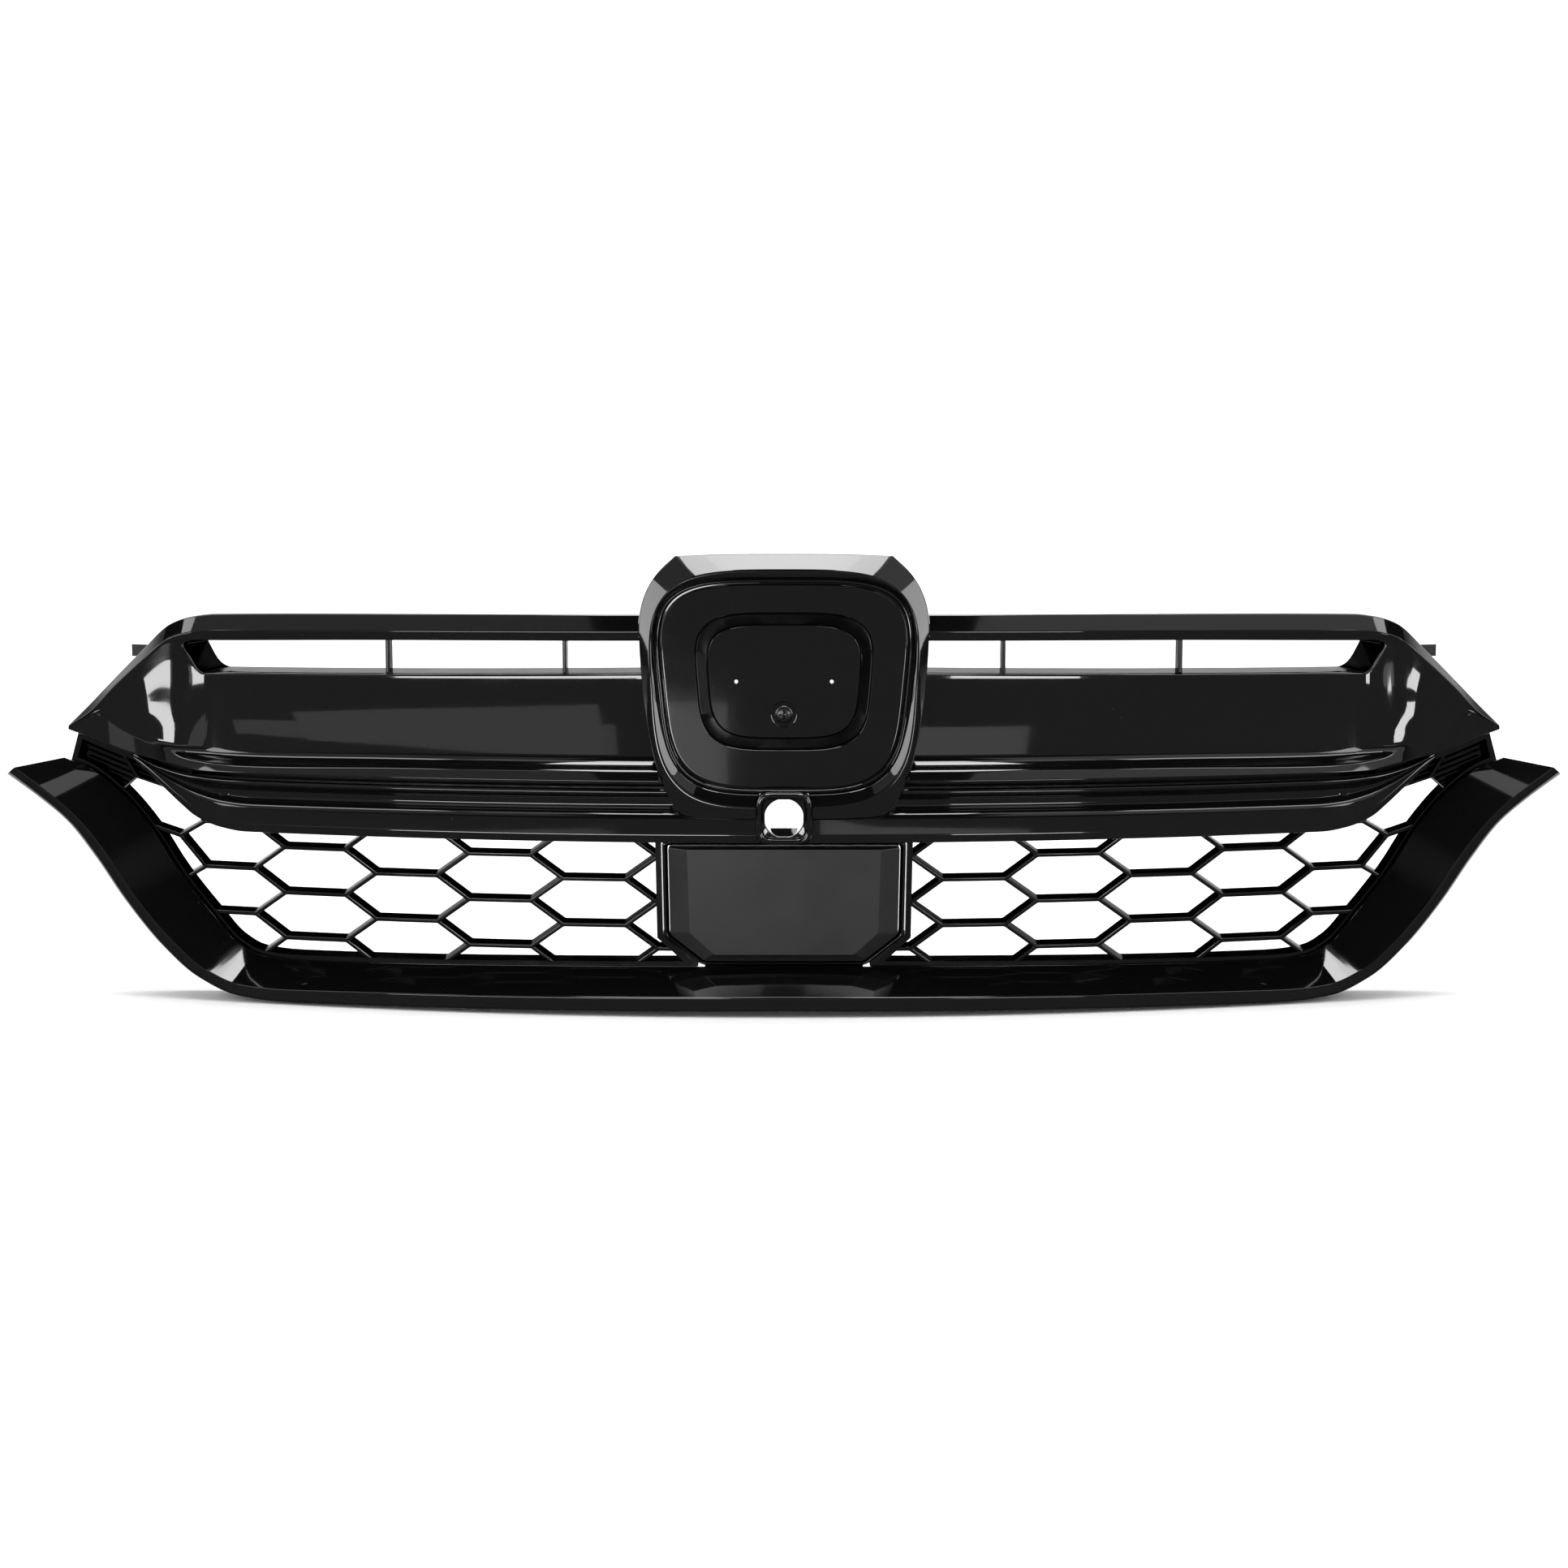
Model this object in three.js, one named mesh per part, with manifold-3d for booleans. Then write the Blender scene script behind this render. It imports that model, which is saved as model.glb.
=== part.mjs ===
// Front grille of a family-size SUV: two slotted upper wing mouldings, a central badge frame, a full-width
// centre bar, two honeycomb inserts, a radar cover and a U-shaped lower trim, all screwed to a rear carrier.
// Millimetres. +X is to the viewer's right when facing the grille, +Y points into the car, +Z is up.
// The styling is drawn from a front datum plane and follows one plan sweep; the exported group is then moved
// so that its origin is the centre of the upper mounting pad's underside.
import * as THREE from "three";
import { mergeVertices } from "three/addons/utils/BufferGeometryUtils.js";
import Module from "manifold-3d";

const wasm = await Module();
wasm.setup();

// ---------------------------------------------------------------- driving dimensions
const PLAN_RADIUS = 1500; // sweep of the whole front in plan view
const WALL = 3; // moulding wall thickness
const GAP = 0.5; // assembly gap between neighbouring mouldings
const PAD = { y: 80, z: 148, halfWidth: 35, halfDepth: 15 }; // upper mounting pad, underside centre

const WING = { inner: 92, outer: 546, hollowEnd: 500, flange: 22, bottomFlange: 16 };
const SLOT_RIBS = [163, 297]; // distance of each slot rib from the centre line
const SLOT = { inner: 86, outerLow: 432, outerHigh: 448, draft: 1.4 };
const LINER = { inner: 98, front: 33, back: 60, wall: 2, taper: 12, bend: 8 };
const RIB_THICKNESS = 3;

const BADGE = { halfWidth: 88.5, halfHeight: 75, z: 70.6, taper: 0.1, power: 4 }; // badge base outline
const BADGE_FACE = { bottomZ: -4, bottomDepth: 6, slope: 0.08, skirt: 15 }; // the base leans back as it rises
const SEAT = { halfWidth: 64, halfHeight: 50, z: 74, taper: 0.08, power: 4, recess: 3, grooveWidth: 9 };
const SEAT_PINS = { x: 35, z: 74, radius: 1.3 };
const BADGE_SCREW = { z: 50, head: 6.6 };

const HEX = { columns: 7, rows: 5, pitch: 71, rowPitch: 34.7, flat: 47, firstX: 70.5, topRow: -58.5 };
const BARS = { front: 23, back: 40, frontWidth: 3.2, backWidth: 4.4 }; // the walls between honeycomb cells
const RIM = { wall: 4.4, front: 22, back: 45, behindTrim: 1.2 }; // the honeycomb insert's frame
const LOUVRE = { count: 8, pitch: 4.4, height: 1.8, length: 57, rise: 19.5, front: 26, face: 29, back: 32 };

const CAMERA = { z: -25.6, halfWidth: 20.3, halfHeight: 19.3, corner: 8, hole: 14.4, front: -3, back: 20 };
const BRIDGE_DROP = 10.4; // how far below the camera's axis the strap behind its bezel starts
const SCREW = { head: 4.6, headHeight: 2.6, shank: 1.6, length: 15 };
const BOSS = { radius: 5, pilot: 2, clearance: 2.6, access: 6 }; // radii of a screw's boss and of its holes
const WEB = { front: 46, back: 49, flangeBack: 58 }; // depth of the carrier's upright web and its flanges
const SIDE = { inner: 413, outer: 464, front: 49.5, back: 52.5, low: -30, high: 111.5 }; // side support

const GLOSS_BLACK = { color: 0x0b0b0c, roughness: 0.08, metalness: 0 };
const SATIN_BLACK = { color: 0x1a1a1b, roughness: 0.45, metalness: 0 };
const STRUCTURE_BLACK = { color: 0x202022, roughness: 0.7, metalness: 0 };
const ZINC = { color: 0xa8a8a4, roughness: 0.35, metalness: 1 };

// ---------------------------------------------------------------- shape helpers
/** How far the front surface is set back at x by the plan sweep. */
const setBack = (x) => (x * x) / (2 * PLAN_RADIUS);

/** Depth of the badge base's face, which leans back as it rises. */
const badgeFace = (z) => BADGE_FACE.bottomDepth + (z - BADGE_FACE.bottomZ) * BADGE_FACE.slope;

/** A smooth function through [position, value] pairs that never overshoots them (monotone cubic). */
function smooth(...pairs) {
  const last = pairs.length - 1;
  const slope = (i) => (pairs[i + 1][1] - pairs[i][1]) / (pairs[i + 1][0] - pairs[i][0]);
  const tangents = pairs.map((_, i) => {
    if (i === 0) return slope(0);
    if (i === last) return slope(last - 1);
    const before = slope(i - 1);
    const after = slope(i);
    return before * after <= 0 ? 0 : (2 * before * after) / (before + after);
  });
  return (position) => {
    const at = THREE.MathUtils.clamp(position, pairs[0][0], pairs[last][0]);
    let i = 0;
    while (i < last - 1 && at > pairs[i + 1][0]) i += 1;
    const span = pairs[i + 1][0] - pairs[i][0];
    const t = (at - pairs[i][0]) / span;
    const rise = t * t * (3 - 2 * t);
    const start = t * (1 - t) * (1 - t) * span * tangents[i];
    const end = t * t * (t - 1) * span * tangents[i + 1];
    return pairs[i][1] + (pairs[i + 1][1] - pairs[i][1]) * rise + start + end;
  };
}

/** A point from its distance to the centre line, its depth behind the swept front datum, and its height. */
const place = (x, depth, z) => new THREE.Vector3(x, setBack(x) + depth, z);

/** Steps from first to last, at most longest apart. */
function steps(first, last, longest) {
  const count = Math.ceil(Math.abs(last - first) / longest);
  return Array.from({ length: count + 1 }, (_, i) => first + ((last - first) * i) / count);
}

/** Triangles that fill a section, turning the same way as its points. */
function capTriangles(section) {
  const normal = new THREE.Vector3();
  section.forEach((p, i) => {
    const next = section[(i + 1) % section.length];
    normal.add(new THREE.Vector3().crossVectors(p, next));
  });
  const size = [Math.abs(normal.x), Math.abs(normal.y), Math.abs(normal.z)];
  const dropped = size.indexOf(Math.max(...size));
  const [u, v] = ["x", "y", "z"].filter((_, i) => i !== dropped);
  const contour = section.map((p) => new THREE.Vector2(p[u], p[v]));
  const triangles = THREE.ShapeUtils.triangulateShape([...contour], []);
  return THREE.ShapeUtils.area(contour) > 0 ? triangles : triangles.map(([a, b, c]) => [a, c, b]);
}

/** A closed skin over sections with equal point counts; wrap joins the last section to the first. */
function skin(sections, wrap = false) {
  const width = sections[0].length;
  const bands = wrap ? sections.length : sections.length - 1;
  const triangles = [];
  for (let s = 0; s < bands; s += 1) {
    const here = s * width;
    const next = ((s + 1) % sections.length) * width;
    for (let k = 0; k < width; k += 1) {
      const k1 = (k + 1) % width;
      triangles.push([here + k, next + k, next + k1], [here + k, next + k1, here + k1]);
    }
  }
  if (!wrap) {
    const last = (sections.length - 1) * width;
    triangles.push(...capTriangles(sections[0]));
    triangles.push(...capTriangles(sections.at(-1)).map(([a, b, c]) => [last + a, last + c, last + b]));
  }
  const points = sections.flat();
  const tripleProduct = ([a, b, c]) => points[a].clone().cross(points[b]).dot(points[c]);
  const volume = triangles.reduce((sum, triangle) => sum + tripleProduct(triangle), 0);
  const facingOut = volume > 0 ? triangles : triangles.map(([a, b, c]) => [a, c, b]);
  const geometry = new THREE.BufferGeometry().setFromPoints(points);
  geometry.setIndex(facingOut.flat());
  return geometry;
}

/** A profile or, if closed, an outline, moved towards the right-hand side of its direction by a distance. */
function inset(pairs, distance, closed = false) {
  const points = pairs.map(([u, v]) => new THREE.Vector2(u, v));
  const normalAfter = (i) => {
    const along = points[(i + 1) % points.length].clone().sub(points[i]).normalize();
    return new THREE.Vector2(-along.y, along.x);
  };
  return points.map((p, i) => {
    const first = i === 0 && !closed;
    const last = i === points.length - 1 && !closed;
    const before = first ? normalAfter(0) : normalAfter((i + points.length - 1) % points.length);
    const after = last ? before : normalAfter(i);
    const mitre = before.clone().add(after).multiplyScalar(distance / (1 + before.dot(after)));
    return [p.x + mitre.x, p.y + mitre.y];
  });
}

/** A three.js geometry as a manifold-3d solid. */
function solid(geometry) {
  const bare = geometry.clone();
  bare.deleteAttribute("normal");
  bare.deleteAttribute("uv");
  const merged = mergeVertices(bare, 1e-4);
  const vertProperties = new Float32Array(merged.attributes.position.array);
  const triVerts = new Uint32Array(merged.index.array);
  return new wasm.Manifold(new wasm.Mesh({ numProp: 3, vertProperties, triVerts }));
}

/** A manifold-3d solid as a three.js geometry. */
function geometryOf(body) {
  const mesh = body.getMesh();
  const geometry = new THREE.BufferGeometry();
  geometry.setAttribute("position", new THREE.BufferAttribute(mesh.vertProperties.slice(), 3));
  geometry.setIndex(new THREE.BufferAttribute(mesh.triVerts.slice(), 1));
  return geometry;
}

/**
 * A moulding that is open at the back: an outside less an inside, each given by the [depth, z] points of its
 * profile at x. The inside is cut at the hollow stations only, so the ends can be solid.
 */
function moulding(outsideAt, stations, insideAt, hollow) {
  const sections = (profileAt, places) =>
    places.map((x) => profileAt(x).map(([depth, z]) => place(x, depth, z)));
  return solid(skin(sections(outsideAt, stations))).subtract(solid(skin(sections(insideAt, hollow))));
}

/** Moves each vertex back by a function of its position. */
function pushBack(geometry, depthAt) {
  const position = geometry.attributes.position;
  for (let i = 0; i < position.count; i += 1)
    position.setY(i, position.getY(i) + depthAt(position.getX(i), position.getZ(i)));
  return geometry;
}

/** A front-view outline as a THREE.Shape, from [x, z] pairs. */
const outline = (pairs) => new THREE.Shape(pairs.map(([x, z]) => new THREE.Vector2(x, z)));

/** A front-view shape (x, z) extruded from one depth to another, with no sweep. */
function prism(shape, front, back) {
  const geometry = new THREE.ExtrudeGeometry(shape, {
    depth: back - front,
    bevelEnabled: false,
    curveSegments: 6,
  });
  return geometry.rotateX(Math.PI / 2).translate(0, back, 0);
}

/** A box from its low and high corners. */
function block([x0, y0, z0], [x1, y1, z1]) {
  return new THREE.BoxGeometry(x1 - x0, y1 - y0, z1 - z0).translate(
    (x0 + x1) / 2,
    (y0 + y1) / 2,
    (z0 + z1) / 2,
  );
}

/** A round bar along Y. */
const rod = (radius, x, z, front, back, sides = 8) =>
  new THREE.CylinderGeometry(radius, radius, back - front, sides).translate(x, (front + back) / 2, z);

/** Points of a tapered superellipse in the front view, going round its centre. */
function roundedLoop({ halfWidth, halfHeight, z, taper = 0, power }, count, grow = 0) {
  return Array.from({ length: count }, (_, i) => {
    const angle = ((i + 0.5) / count) * 2 * Math.PI;
    const curve = (value) => Math.sign(value) * Math.abs(value) ** (2 / power);
    const height = (halfHeight + grow) * curve(Math.sin(angle));
    return [(halfWidth + grow + taper * height) * curve(Math.cos(angle)), z + height];
  });
}

/** A rectangle with rounded corners as a THREE.Shape. */
function roundedRectangle(halfWidth, halfHeight, radius, z = 0) {
  const shape = new THREE.Shape();
  const [w, h] = [halfWidth - radius, halfHeight - radius];
  shape.absarc(w, z + h, radius, 0, Math.PI / 2);
  shape.absarc(-w, z + h, radius, Math.PI / 2, Math.PI);
  shape.absarc(-w, z - h, radius, Math.PI, 1.5 * Math.PI);
  shape.absarc(w, z - h, radius, 1.5 * Math.PI, 2 * Math.PI);
  return shape;
}

/** Where a ray from the centre at the direction of `towards` meets a closed outline of [x, z] pairs. */
function rayHit(pairs, centre, towards) {
  const [dx, dz] = [towards[0] - centre[0], towards[1] - centre[1]];
  for (let i = 0; i < pairs.length; i += 1) {
    const [ax, az] = [pairs[i][0] - centre[0], pairs[i][1] - centre[1]];
    const next = pairs[(i + 1) % pairs.length];
    const [ex, ez] = [next[0] - pairs[i][0], next[1] - pairs[i][1]];
    const det = dx * ez - dz * ex;
    if (Math.abs(det) < 1e-9) continue;
    const along = (ax * ez - az * ex) / det;
    const share = (ax * dz - az * dx) / det;
    if (along > 0 && share >= 0 && share <= 1) return [centre[0] + along * dx, centre[1] + along * dz];
  }
  throw new Error("the outline does not surround its centre");
}

const mirrored = (pairs) => [...pairs].reverse().map(([x, z]) => [-x, z]);

// ---------------------------------------------------------------- the object
const styling = new THREE.Group();
styling.position.set(0, -PAD.y, -PAD.z);

function addPart(name, body, finish) {
  const mesh = new THREE.Mesh(geometryOf(body), new THREE.MeshStandardMaterial(finish));
  mesh.geometry.computeVertexNormals();
  mesh.name = name;
  styling.add(mesh);
  return mesh;
}

/** The same part on the right (+X) and, mirrored, on the left. */
function addPair(name, body, finish) {
  addPart(`${name}_right`, body, finish);
  addPart(`${name}_left`, body, finish).scale.x = -1;
}

// ---------------------------------------------------------------- screws and their bosses
const screwPoints = []; // filled by screwInto, then drawn as screws at the end

/** A moulding's boss and pilot hole, and the screw's clearance hole and access in what it is fixed to. */
function screwInto(name, x, z, bossFront, webFront, webBack) {
  const base = setBack(x);
  const slope = Math.abs(x) / PLAN_RADIUS;
  const meet = base + webFront - GAP - slope * BOSS.radius;
  const seat = base + webBack + GAP + slope * SCREW.head;
  screwPoints.push({ name, x, z, seat });
  return {
    boss: solid(rod(BOSS.radius, x, z, base + bossFront, meet)),
    pilot: solid(rod(BOSS.pilot, x, z, seat - SCREW.length - 1, meet + 1, 6)),
    clearance: solid(rod(BOSS.clearance, x, z, base + webFront - 8, seat + 1)).add(
      solid(rod(BOSS.access, x, z, seat - GAP / 2, seat + 20))),
  };
}

/** Screw joints of the right side together with their mirror images. */
const bothSides = (joints) => [
  ...joints,
  ...joints.map(({ boss, pilot, clearance }) => ({
    boss: boss.mirror([1, 0, 0]),
    pilot: pilot.mirror([1, 0, 0]),
    clearance: clearance.mirror([1, 0, 0]),
  })),
];

const join = (body, ...pieces) => pieces.reduce((made, piece) => made.add(piece), body);
const cut = (body, ...tools) => tools.reduce((made, tool) => made.subtract(tool), body);
const withBosses = (body, joints) =>
  cut(join(body, ...joints.map((joint) => joint.boss)), ...joints.map((joint) => joint.pilot));
const withHoles = (body, joints) => cut(body, ...joints.map((joint) => joint.clearance));

// ---------------------------------------------------------------- badge frame
const FRAME_CENTRE = [0, 70];
const FRAME_HALF_OUTLINE = [
  [0, 167], [45, 166.6], [80, 165], [93, 152.5], [101.5, 139], [106, 123.5], [106.6, 105],
  [104.6, 75], [100.4, 42], [94.5, 14], [86, -8], [79, -20], [70, -24.6], [45, -26.4], [0, -27],
];
const FRAME_OUTLINE = [...FRAME_HALF_OUTLINE, ...mirrored(FRAME_HALF_OUTLINE.slice(1, -1))];
const CREST = { halfWidth: 97, halfHeight: 86.5, z: 68.2, taper: 0.06, power: 3.6 };
const BASE_LEDGE = { depth: 4.5, width: 3 }; // the step that the badge base rests on
const frameRimDepth = smooth([-27, 3], [12, 5], [80, 14], [123, 20], [150, 24], [167, 26]);
const crestDepth = smooth([-19, -1], [20, 2], [70, 6], [120, 11], [155, 14]);

/** The frame's outline grown by an amount, as a prism that other parts are cut with. */
function frameCutter(grow) {
  const grown = FRAME_OUTLINE.map(([x, z]) => {
    const [dx, dz] = [x - FRAME_CENTRE[0], z - FRAME_CENTRE[1]];
    const share = 1 + grow / Math.hypot(dx, dz);
    return [FRAME_CENTRE[0] + dx * share, FRAME_CENTRE[1] + dz * share];
  });
  return solid(prism(outline(grown), -40, 200));
}

function badgeFrame() {
  const count = 48;
  const crest = roundedLoop(CREST, count);
  const inner = roundedLoop(BADGE, count, 0.4);
  const innerBack = roundedLoop(BADGE, count, 0.4 + WALL);
  const ledge = roundedLoop(BADGE, count, -BASE_LEDGE.width);
  const sections = crest.map((crestPoint, i) => {
    const rim = rayHit(FRAME_OUTLINE, FRAME_CENTRE, crestPoint);
    const towardsCentre = (point, amount) => {
      const [dx, dz] = [point[0] - FRAME_CENTRE[0], point[1] - FRAME_CENTRE[1]];
      const share = 1 - amount / Math.hypot(dx, dz);
      return [FRAME_CENTRE[0] + dx * share, FRAME_CENTRE[1] + dz * share];
    };
    const at = ([x, z], depth) => new THREE.Vector3(x, depth + setBack(x), z);
    const rimInside = towardsCentre(rim, WALL);
    const rimDepth = frameRimDepth(rim[1]);
    const face = badgeFace(inner[i][1]);
    return [
      at(rim, rimDepth + BADGE_FACE.skirt),
      at(rim, rimDepth),
      at(crestPoint, crestDepth(crestPoint[1])),
      at(inner[i], face - 1.5),
      at(inner[i], face + BASE_LEDGE.depth),
      at(ledge[i], face + BASE_LEDGE.depth),
      at(ledge[i], face + BASE_LEDGE.depth + WALL),
      at(innerBack[i], face + BASE_LEDGE.depth + WALL),
      at(innerBack[i], Math.max(face + 2, crestDepth(crestPoint[1]) + 5)),
      at(rimInside, rimDepth + WALL + 1),
      at(rimInside, rimDepth + BADGE_FACE.skirt),
    ];
  });
  return solid(skin(sections, true));
}

// ---------------------------------------------------------------- camera opening
const cameraShape = (grow) =>
  roundedRectangle(CAMERA.halfWidth + grow, CAMERA.halfHeight + grow, CAMERA.corner + grow, CAMERA.z);
const cameraCutter = solid(prism(cameraShape(GAP), -40, 60));

function cameraBezel() {
  const shell = solid(prism(cameraShape(0), CAMERA.front, CAMERA.back));
  const dish = solid(prism(cameraShape(-4), CAMERA.front - 1, CAMERA.front + 3));
  const hole = solid(rod(CAMERA.hole, 0, CAMERA.z, CAMERA.front - 1, CAMERA.back + 1, 24));
  return shell.subtract(dish).subtract(hole);
}

const CAMERA_BRACKET = { halfWidth: 33, front: 24.4, back: 27.4, top: -9, bottom: -40 };
const CAMERA_WINDOW = { halfWidth: 17, low: -36.5, high: -12.5 };

function cameraBracket() {
  const { halfWidth, front, back, top, bottom } = CAMERA_BRACKET;
  const plate = solid(block([-halfWidth, front, bottom], [halfWidth, back, top]));
  const legs = [-1, 1].map((side) => {
    const [low, high] = [side * (halfWidth - WALL), side * halfWidth].sort((a, b) => a - b);
    return solid(block([low, back - 1, bottom], [high, WEB.front - GAP, top]));
  });
  const { halfWidth: half, low, high } = CAMERA_WINDOW;
  return cut(join(plate, ...legs), solid(block([-half, front - 1, low], [half, back + 1, high])));
}

// ---------------------------------------------------------------- upper wing mouldings
const wingTop = smooth([92, 121.5], [280, 120], [430, 117], [449, 114.5], [465, 109], [489, 87.3],
  [512, 64.7], [532, 44.3], [546, 31]);
const wingTopDepth = smooth([92, 30], [430, 31.5], [449, 30], [465, 28], [489, 22], [512, 16], [532, 9],
  [546, 5]);
const creaseHeight = smooth([92, 109], [280, 107.4], [440, 104], [456, 101.5], [466, 98.2], [484, 83.5],
  [508, 62], [528, 42], [546, 30.2]);
const creaseDepth = smooth([92, 24], [430, 24], [449, 22], [466, 16], [484, 9.5], [508, 6], [528, 3],
  [546, 3]);
const panelDepth = smooth([92, 22], [420, 24], [438, 25], [452, 21.5], [466, 14.5], [480, 9.5], [498, 7],
  [528, 4.5], [546, 4]);
const rimHeight = smooth([92, 8.3], [280, 7.6], [405, 5.6], [430, 6.2], [454, 9], [481, 19], [501, 28],
  [526, 39.5], [546, 29.6]);
const rimDepth = smooth([92, 5], [405, 6], [440, 8.5], [480, 10], [505, 9], [528, 6], [546, 3.5]);
const wingBottom = smooth([92, 0], [393, -0.6], [438, -0.8], [459, 2.7], [482, 7.2], [502, 11.6], [540, 25],
  [546, 27.4]);
const lipSize = smooth([92, 1], [436, 1], [470, 0.25], [546, 0.25]); // the lip under the crease fades out

/** The wing's outside at x, from the top flange's rear edge round the front to the bottom flange's. */
function wingProfile(x) {
  const top = wingTop(x);
  const bottom = wingBottom(x);
  const reach = Math.min(1, (top - bottom) / 50);
  const crease = creaseHeight(x);
  const rim = rimHeight(x);
  const step = reach * lipSize(x);
  const lip = crease - 8 * step;
  const panel = (share) => lip + (rim - lip) * share;
  const deep = panelDepth(x);
  const [topDepth, frontDepth, lowDepth] = [wingTopDepth(x), creaseDepth(x), rimDepth(x)];
  return [
    [topDepth + WING.flange * reach + 1, top - 1 * reach],
    [topDepth, top],
    [frontDepth, crease],
    [frontDepth + 4 * step, lip],
    [Math.max(frontDepth, deep) + 5 * step, panel(0.3)],
    [deep, panel(0.65)],
    [(deep + lowDepth) / 2 + 1 * reach, panel(0.94)],
    [lowDepth, rim],
    [lowDepth - 4 * reach, bottom + 0.1 * (rim - bottom)],
    [lowDepth + WING.bottomFlange * reach + 1, bottom],
  ];
}

const slotTop = smooth([92, 102.1], [281, 100.4], [448, 96.6]);
const slotBottom = smooth([92, 78.1], [407, 73], [440, 72.5]);

/**
 * The slot in the front view, running on behind the badge frame and slanted at its outer end. It can be
 * grown, its outer end shifted inwards, and that end's lower corner turned into a longer bend.
 */
function slotOutline(grow = 0, shift = 0, bend = 0) {
  const { inner, outerLow, outerHigh } = SLOT;
  const low = steps(inner, outerLow, 43).map((x) => (x > 400 ? x - bend : x)).map((x) => [x, slotBottom(x)]);
  const corner = new THREE.QuadraticBezierCurve(
    new THREE.Vector2(435 - bend, 72.4), new THREE.Vector2(443.5 - bend / 3, 71.8),
    new THREE.Vector2(448 + bend / 3, 80 + bend));
  const end = [...corner.getPoints(3).map(({ x, y }) => [x, y]), [455.4, 94.4]];
  const high = steps(outerHigh, inner, 43).map((x) => [x, slotTop(x)]);
  const shifted = [...low, ...end, ...high].map(([x, z]) => [x > 400 ? x - shift : x, z]);
  return inset(shifted, -grow, true);
}

const wingJoints = [
  screwInto("wing_screw_upper_inner", 128, 109.4, 27.5, WEB.front, WEB.back),
  screwInto("wing_screw_upper_middle", 260, 108.6, 27.5, WEB.front, WEB.back),
  screwInto("wing_screw_upper_outer", 421, 107.6, 29.2, WEB.front, SIDE.back),
  screwInto("wing_screw_lower_inner", 150, 21, 20.5, WEB.front, WEB.back),
  screwInto("wing_screw_lower_outer", 421, 16, 20.5, WEB.front, SIDE.back),
];
const sideJoint = screwInto("side_screw", 454, 62, 25.5, SIDE.front, SIDE.back);

/** The hollow behind the wing's front, reaching just past the flanges' rear edges. */
function wingInside(x) {
  const profile = inset(wingProfile(x), WALL);
  const [[topDepth, top], [bottomDepth, bottom]] = [profile[0], profile.at(-1)];
  return [[topDepth + 1, top], ...profile.slice(1, -1), [bottomDepth + 1, bottom]];
}

function upperWing() {
  const stations = [...steps(WING.inner, 430, 43), ...steps(430, WING.outer, 10).slice(1)];
  const hollow = stations.filter((x) => x < WING.hollowEnd);
  const shell = moulding(wingProfile, stations, wingInside, hollow);
  const slot = solid(pushBack(prism(outline(slotOutline()), 5, 70), setBack));
  return withBosses(shell.subtract(slot).subtract(frameCutter(GAP)), [...wingJoints, sideJoint]);
}

/** The duct behind a slot: it narrows to its rear, and two upright ribs cross it. */
function slotLiner() {
  const { front, back, wall, taper, bend } = LINER;
  const ring = (grow, shift, bent, depth) =>
    slotOutline(grow, shift, bent).map(([x, z]) => place(x, depth, z));
  const outside = [ring(wall, 0, 0, front), ring(wall - 1, taper - 2, bend, back)];
  const inside = [ring(-SLOT.draft, taper, bend, back), ring(-0.4, 1, 0, front)];
  const loops = [...outside, ...inside];
  const tube = solid(skin(loops[0].map((_, i) => loops.map((loop) => loop[i])), true));
  const ribs = SLOT_RIBS.map((x) => {
    const half = RIB_THICKNESS / 2;
    const base = setBack(x);
    return solid(block([x - half, base + front + 3.5, slotBottom(x) - 0.8], [x + half, base + back - 2.5,
      slotTop(x) + 0.8]));
  });
  const behindFrame = solid(block([0, 0, 0], [LINER.inner, 200, 160]));
  return cut(join(tube, ...ribs), behindFrame);
}

// ---------------------------------------------------------------- centre bar
const barEnd = 496;
const BAR_HOLLOW_END = 452;
const barTop = smooth([0, -4.5], [390, -5.5], [420, -5.2], [450, -3.6], [474, 0.5], [496, 8.5]);
const barLipTop = smooth([0, -38.5], [400, -39], [425, -36], [444, -29], [458, -20], [472, -9.5], [485, 0],
  [496, 6.8]);
const barBottom = smooth([0, -44.5], [405, -44.5], [425, -42], [444, -35.5], [458, -25.5], [472, -14],
  [485, -3.5], [496, 5.5]);
const barDepth = smooth([0, 4], [400, 5], [440, 8], [470, 12], [496, 17]);

/** The centre bar's outside at x: a bead along its top, a flute, and a face that leans forward. */
function barProfile(x) {
  const top = barTop(x);
  const bottom = barBottom(x);
  const reach = Math.min(1, (top - bottom) / 39);
  const lip = barLipTop(x);
  const depth = barDepth(x);
  const down = (share) => top - (top - lip) * share;
  return [
    [depth + 16 * reach, top - 0.5 * reach],
    [depth + 1.5 * reach, top],
    [depth, down(0.1)],
    [depth + 7 * reach, down(0.22)],
    [depth + 9 * reach, down(0.42)],
    [depth + 1.5 * reach, down(0.56)],
    [depth - 3.5 * reach, lip],
    [depth - 2 * reach, bottom],
    [depth + 16 * reach, bottom + 0.5 * reach],
  ];
}

/** The hollow behind the centre bar's front. */
function barInside(x) {
  const [top, bottom, lip] = [barTop(x) - WALL, barBottom(x) + WALL, barLipTop(x) - 1];
  const depth = barDepth(x);
  const [back, flute] = [depth + 18, depth + 12.5];
  return [[back, top], [flute, top], [flute, (top + lip) / 2], [depth + 1.5, lip], [depth + 2.5, bottom],
    [back, bottom]];
}

const barJoints = [
  screwInto("bar_screw_inner", 150, -20, 13, WEB.front, WEB.back),
  screwInto("bar_screw_outer", 421, -20, 14, WEB.front, SIDE.back),
];

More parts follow.
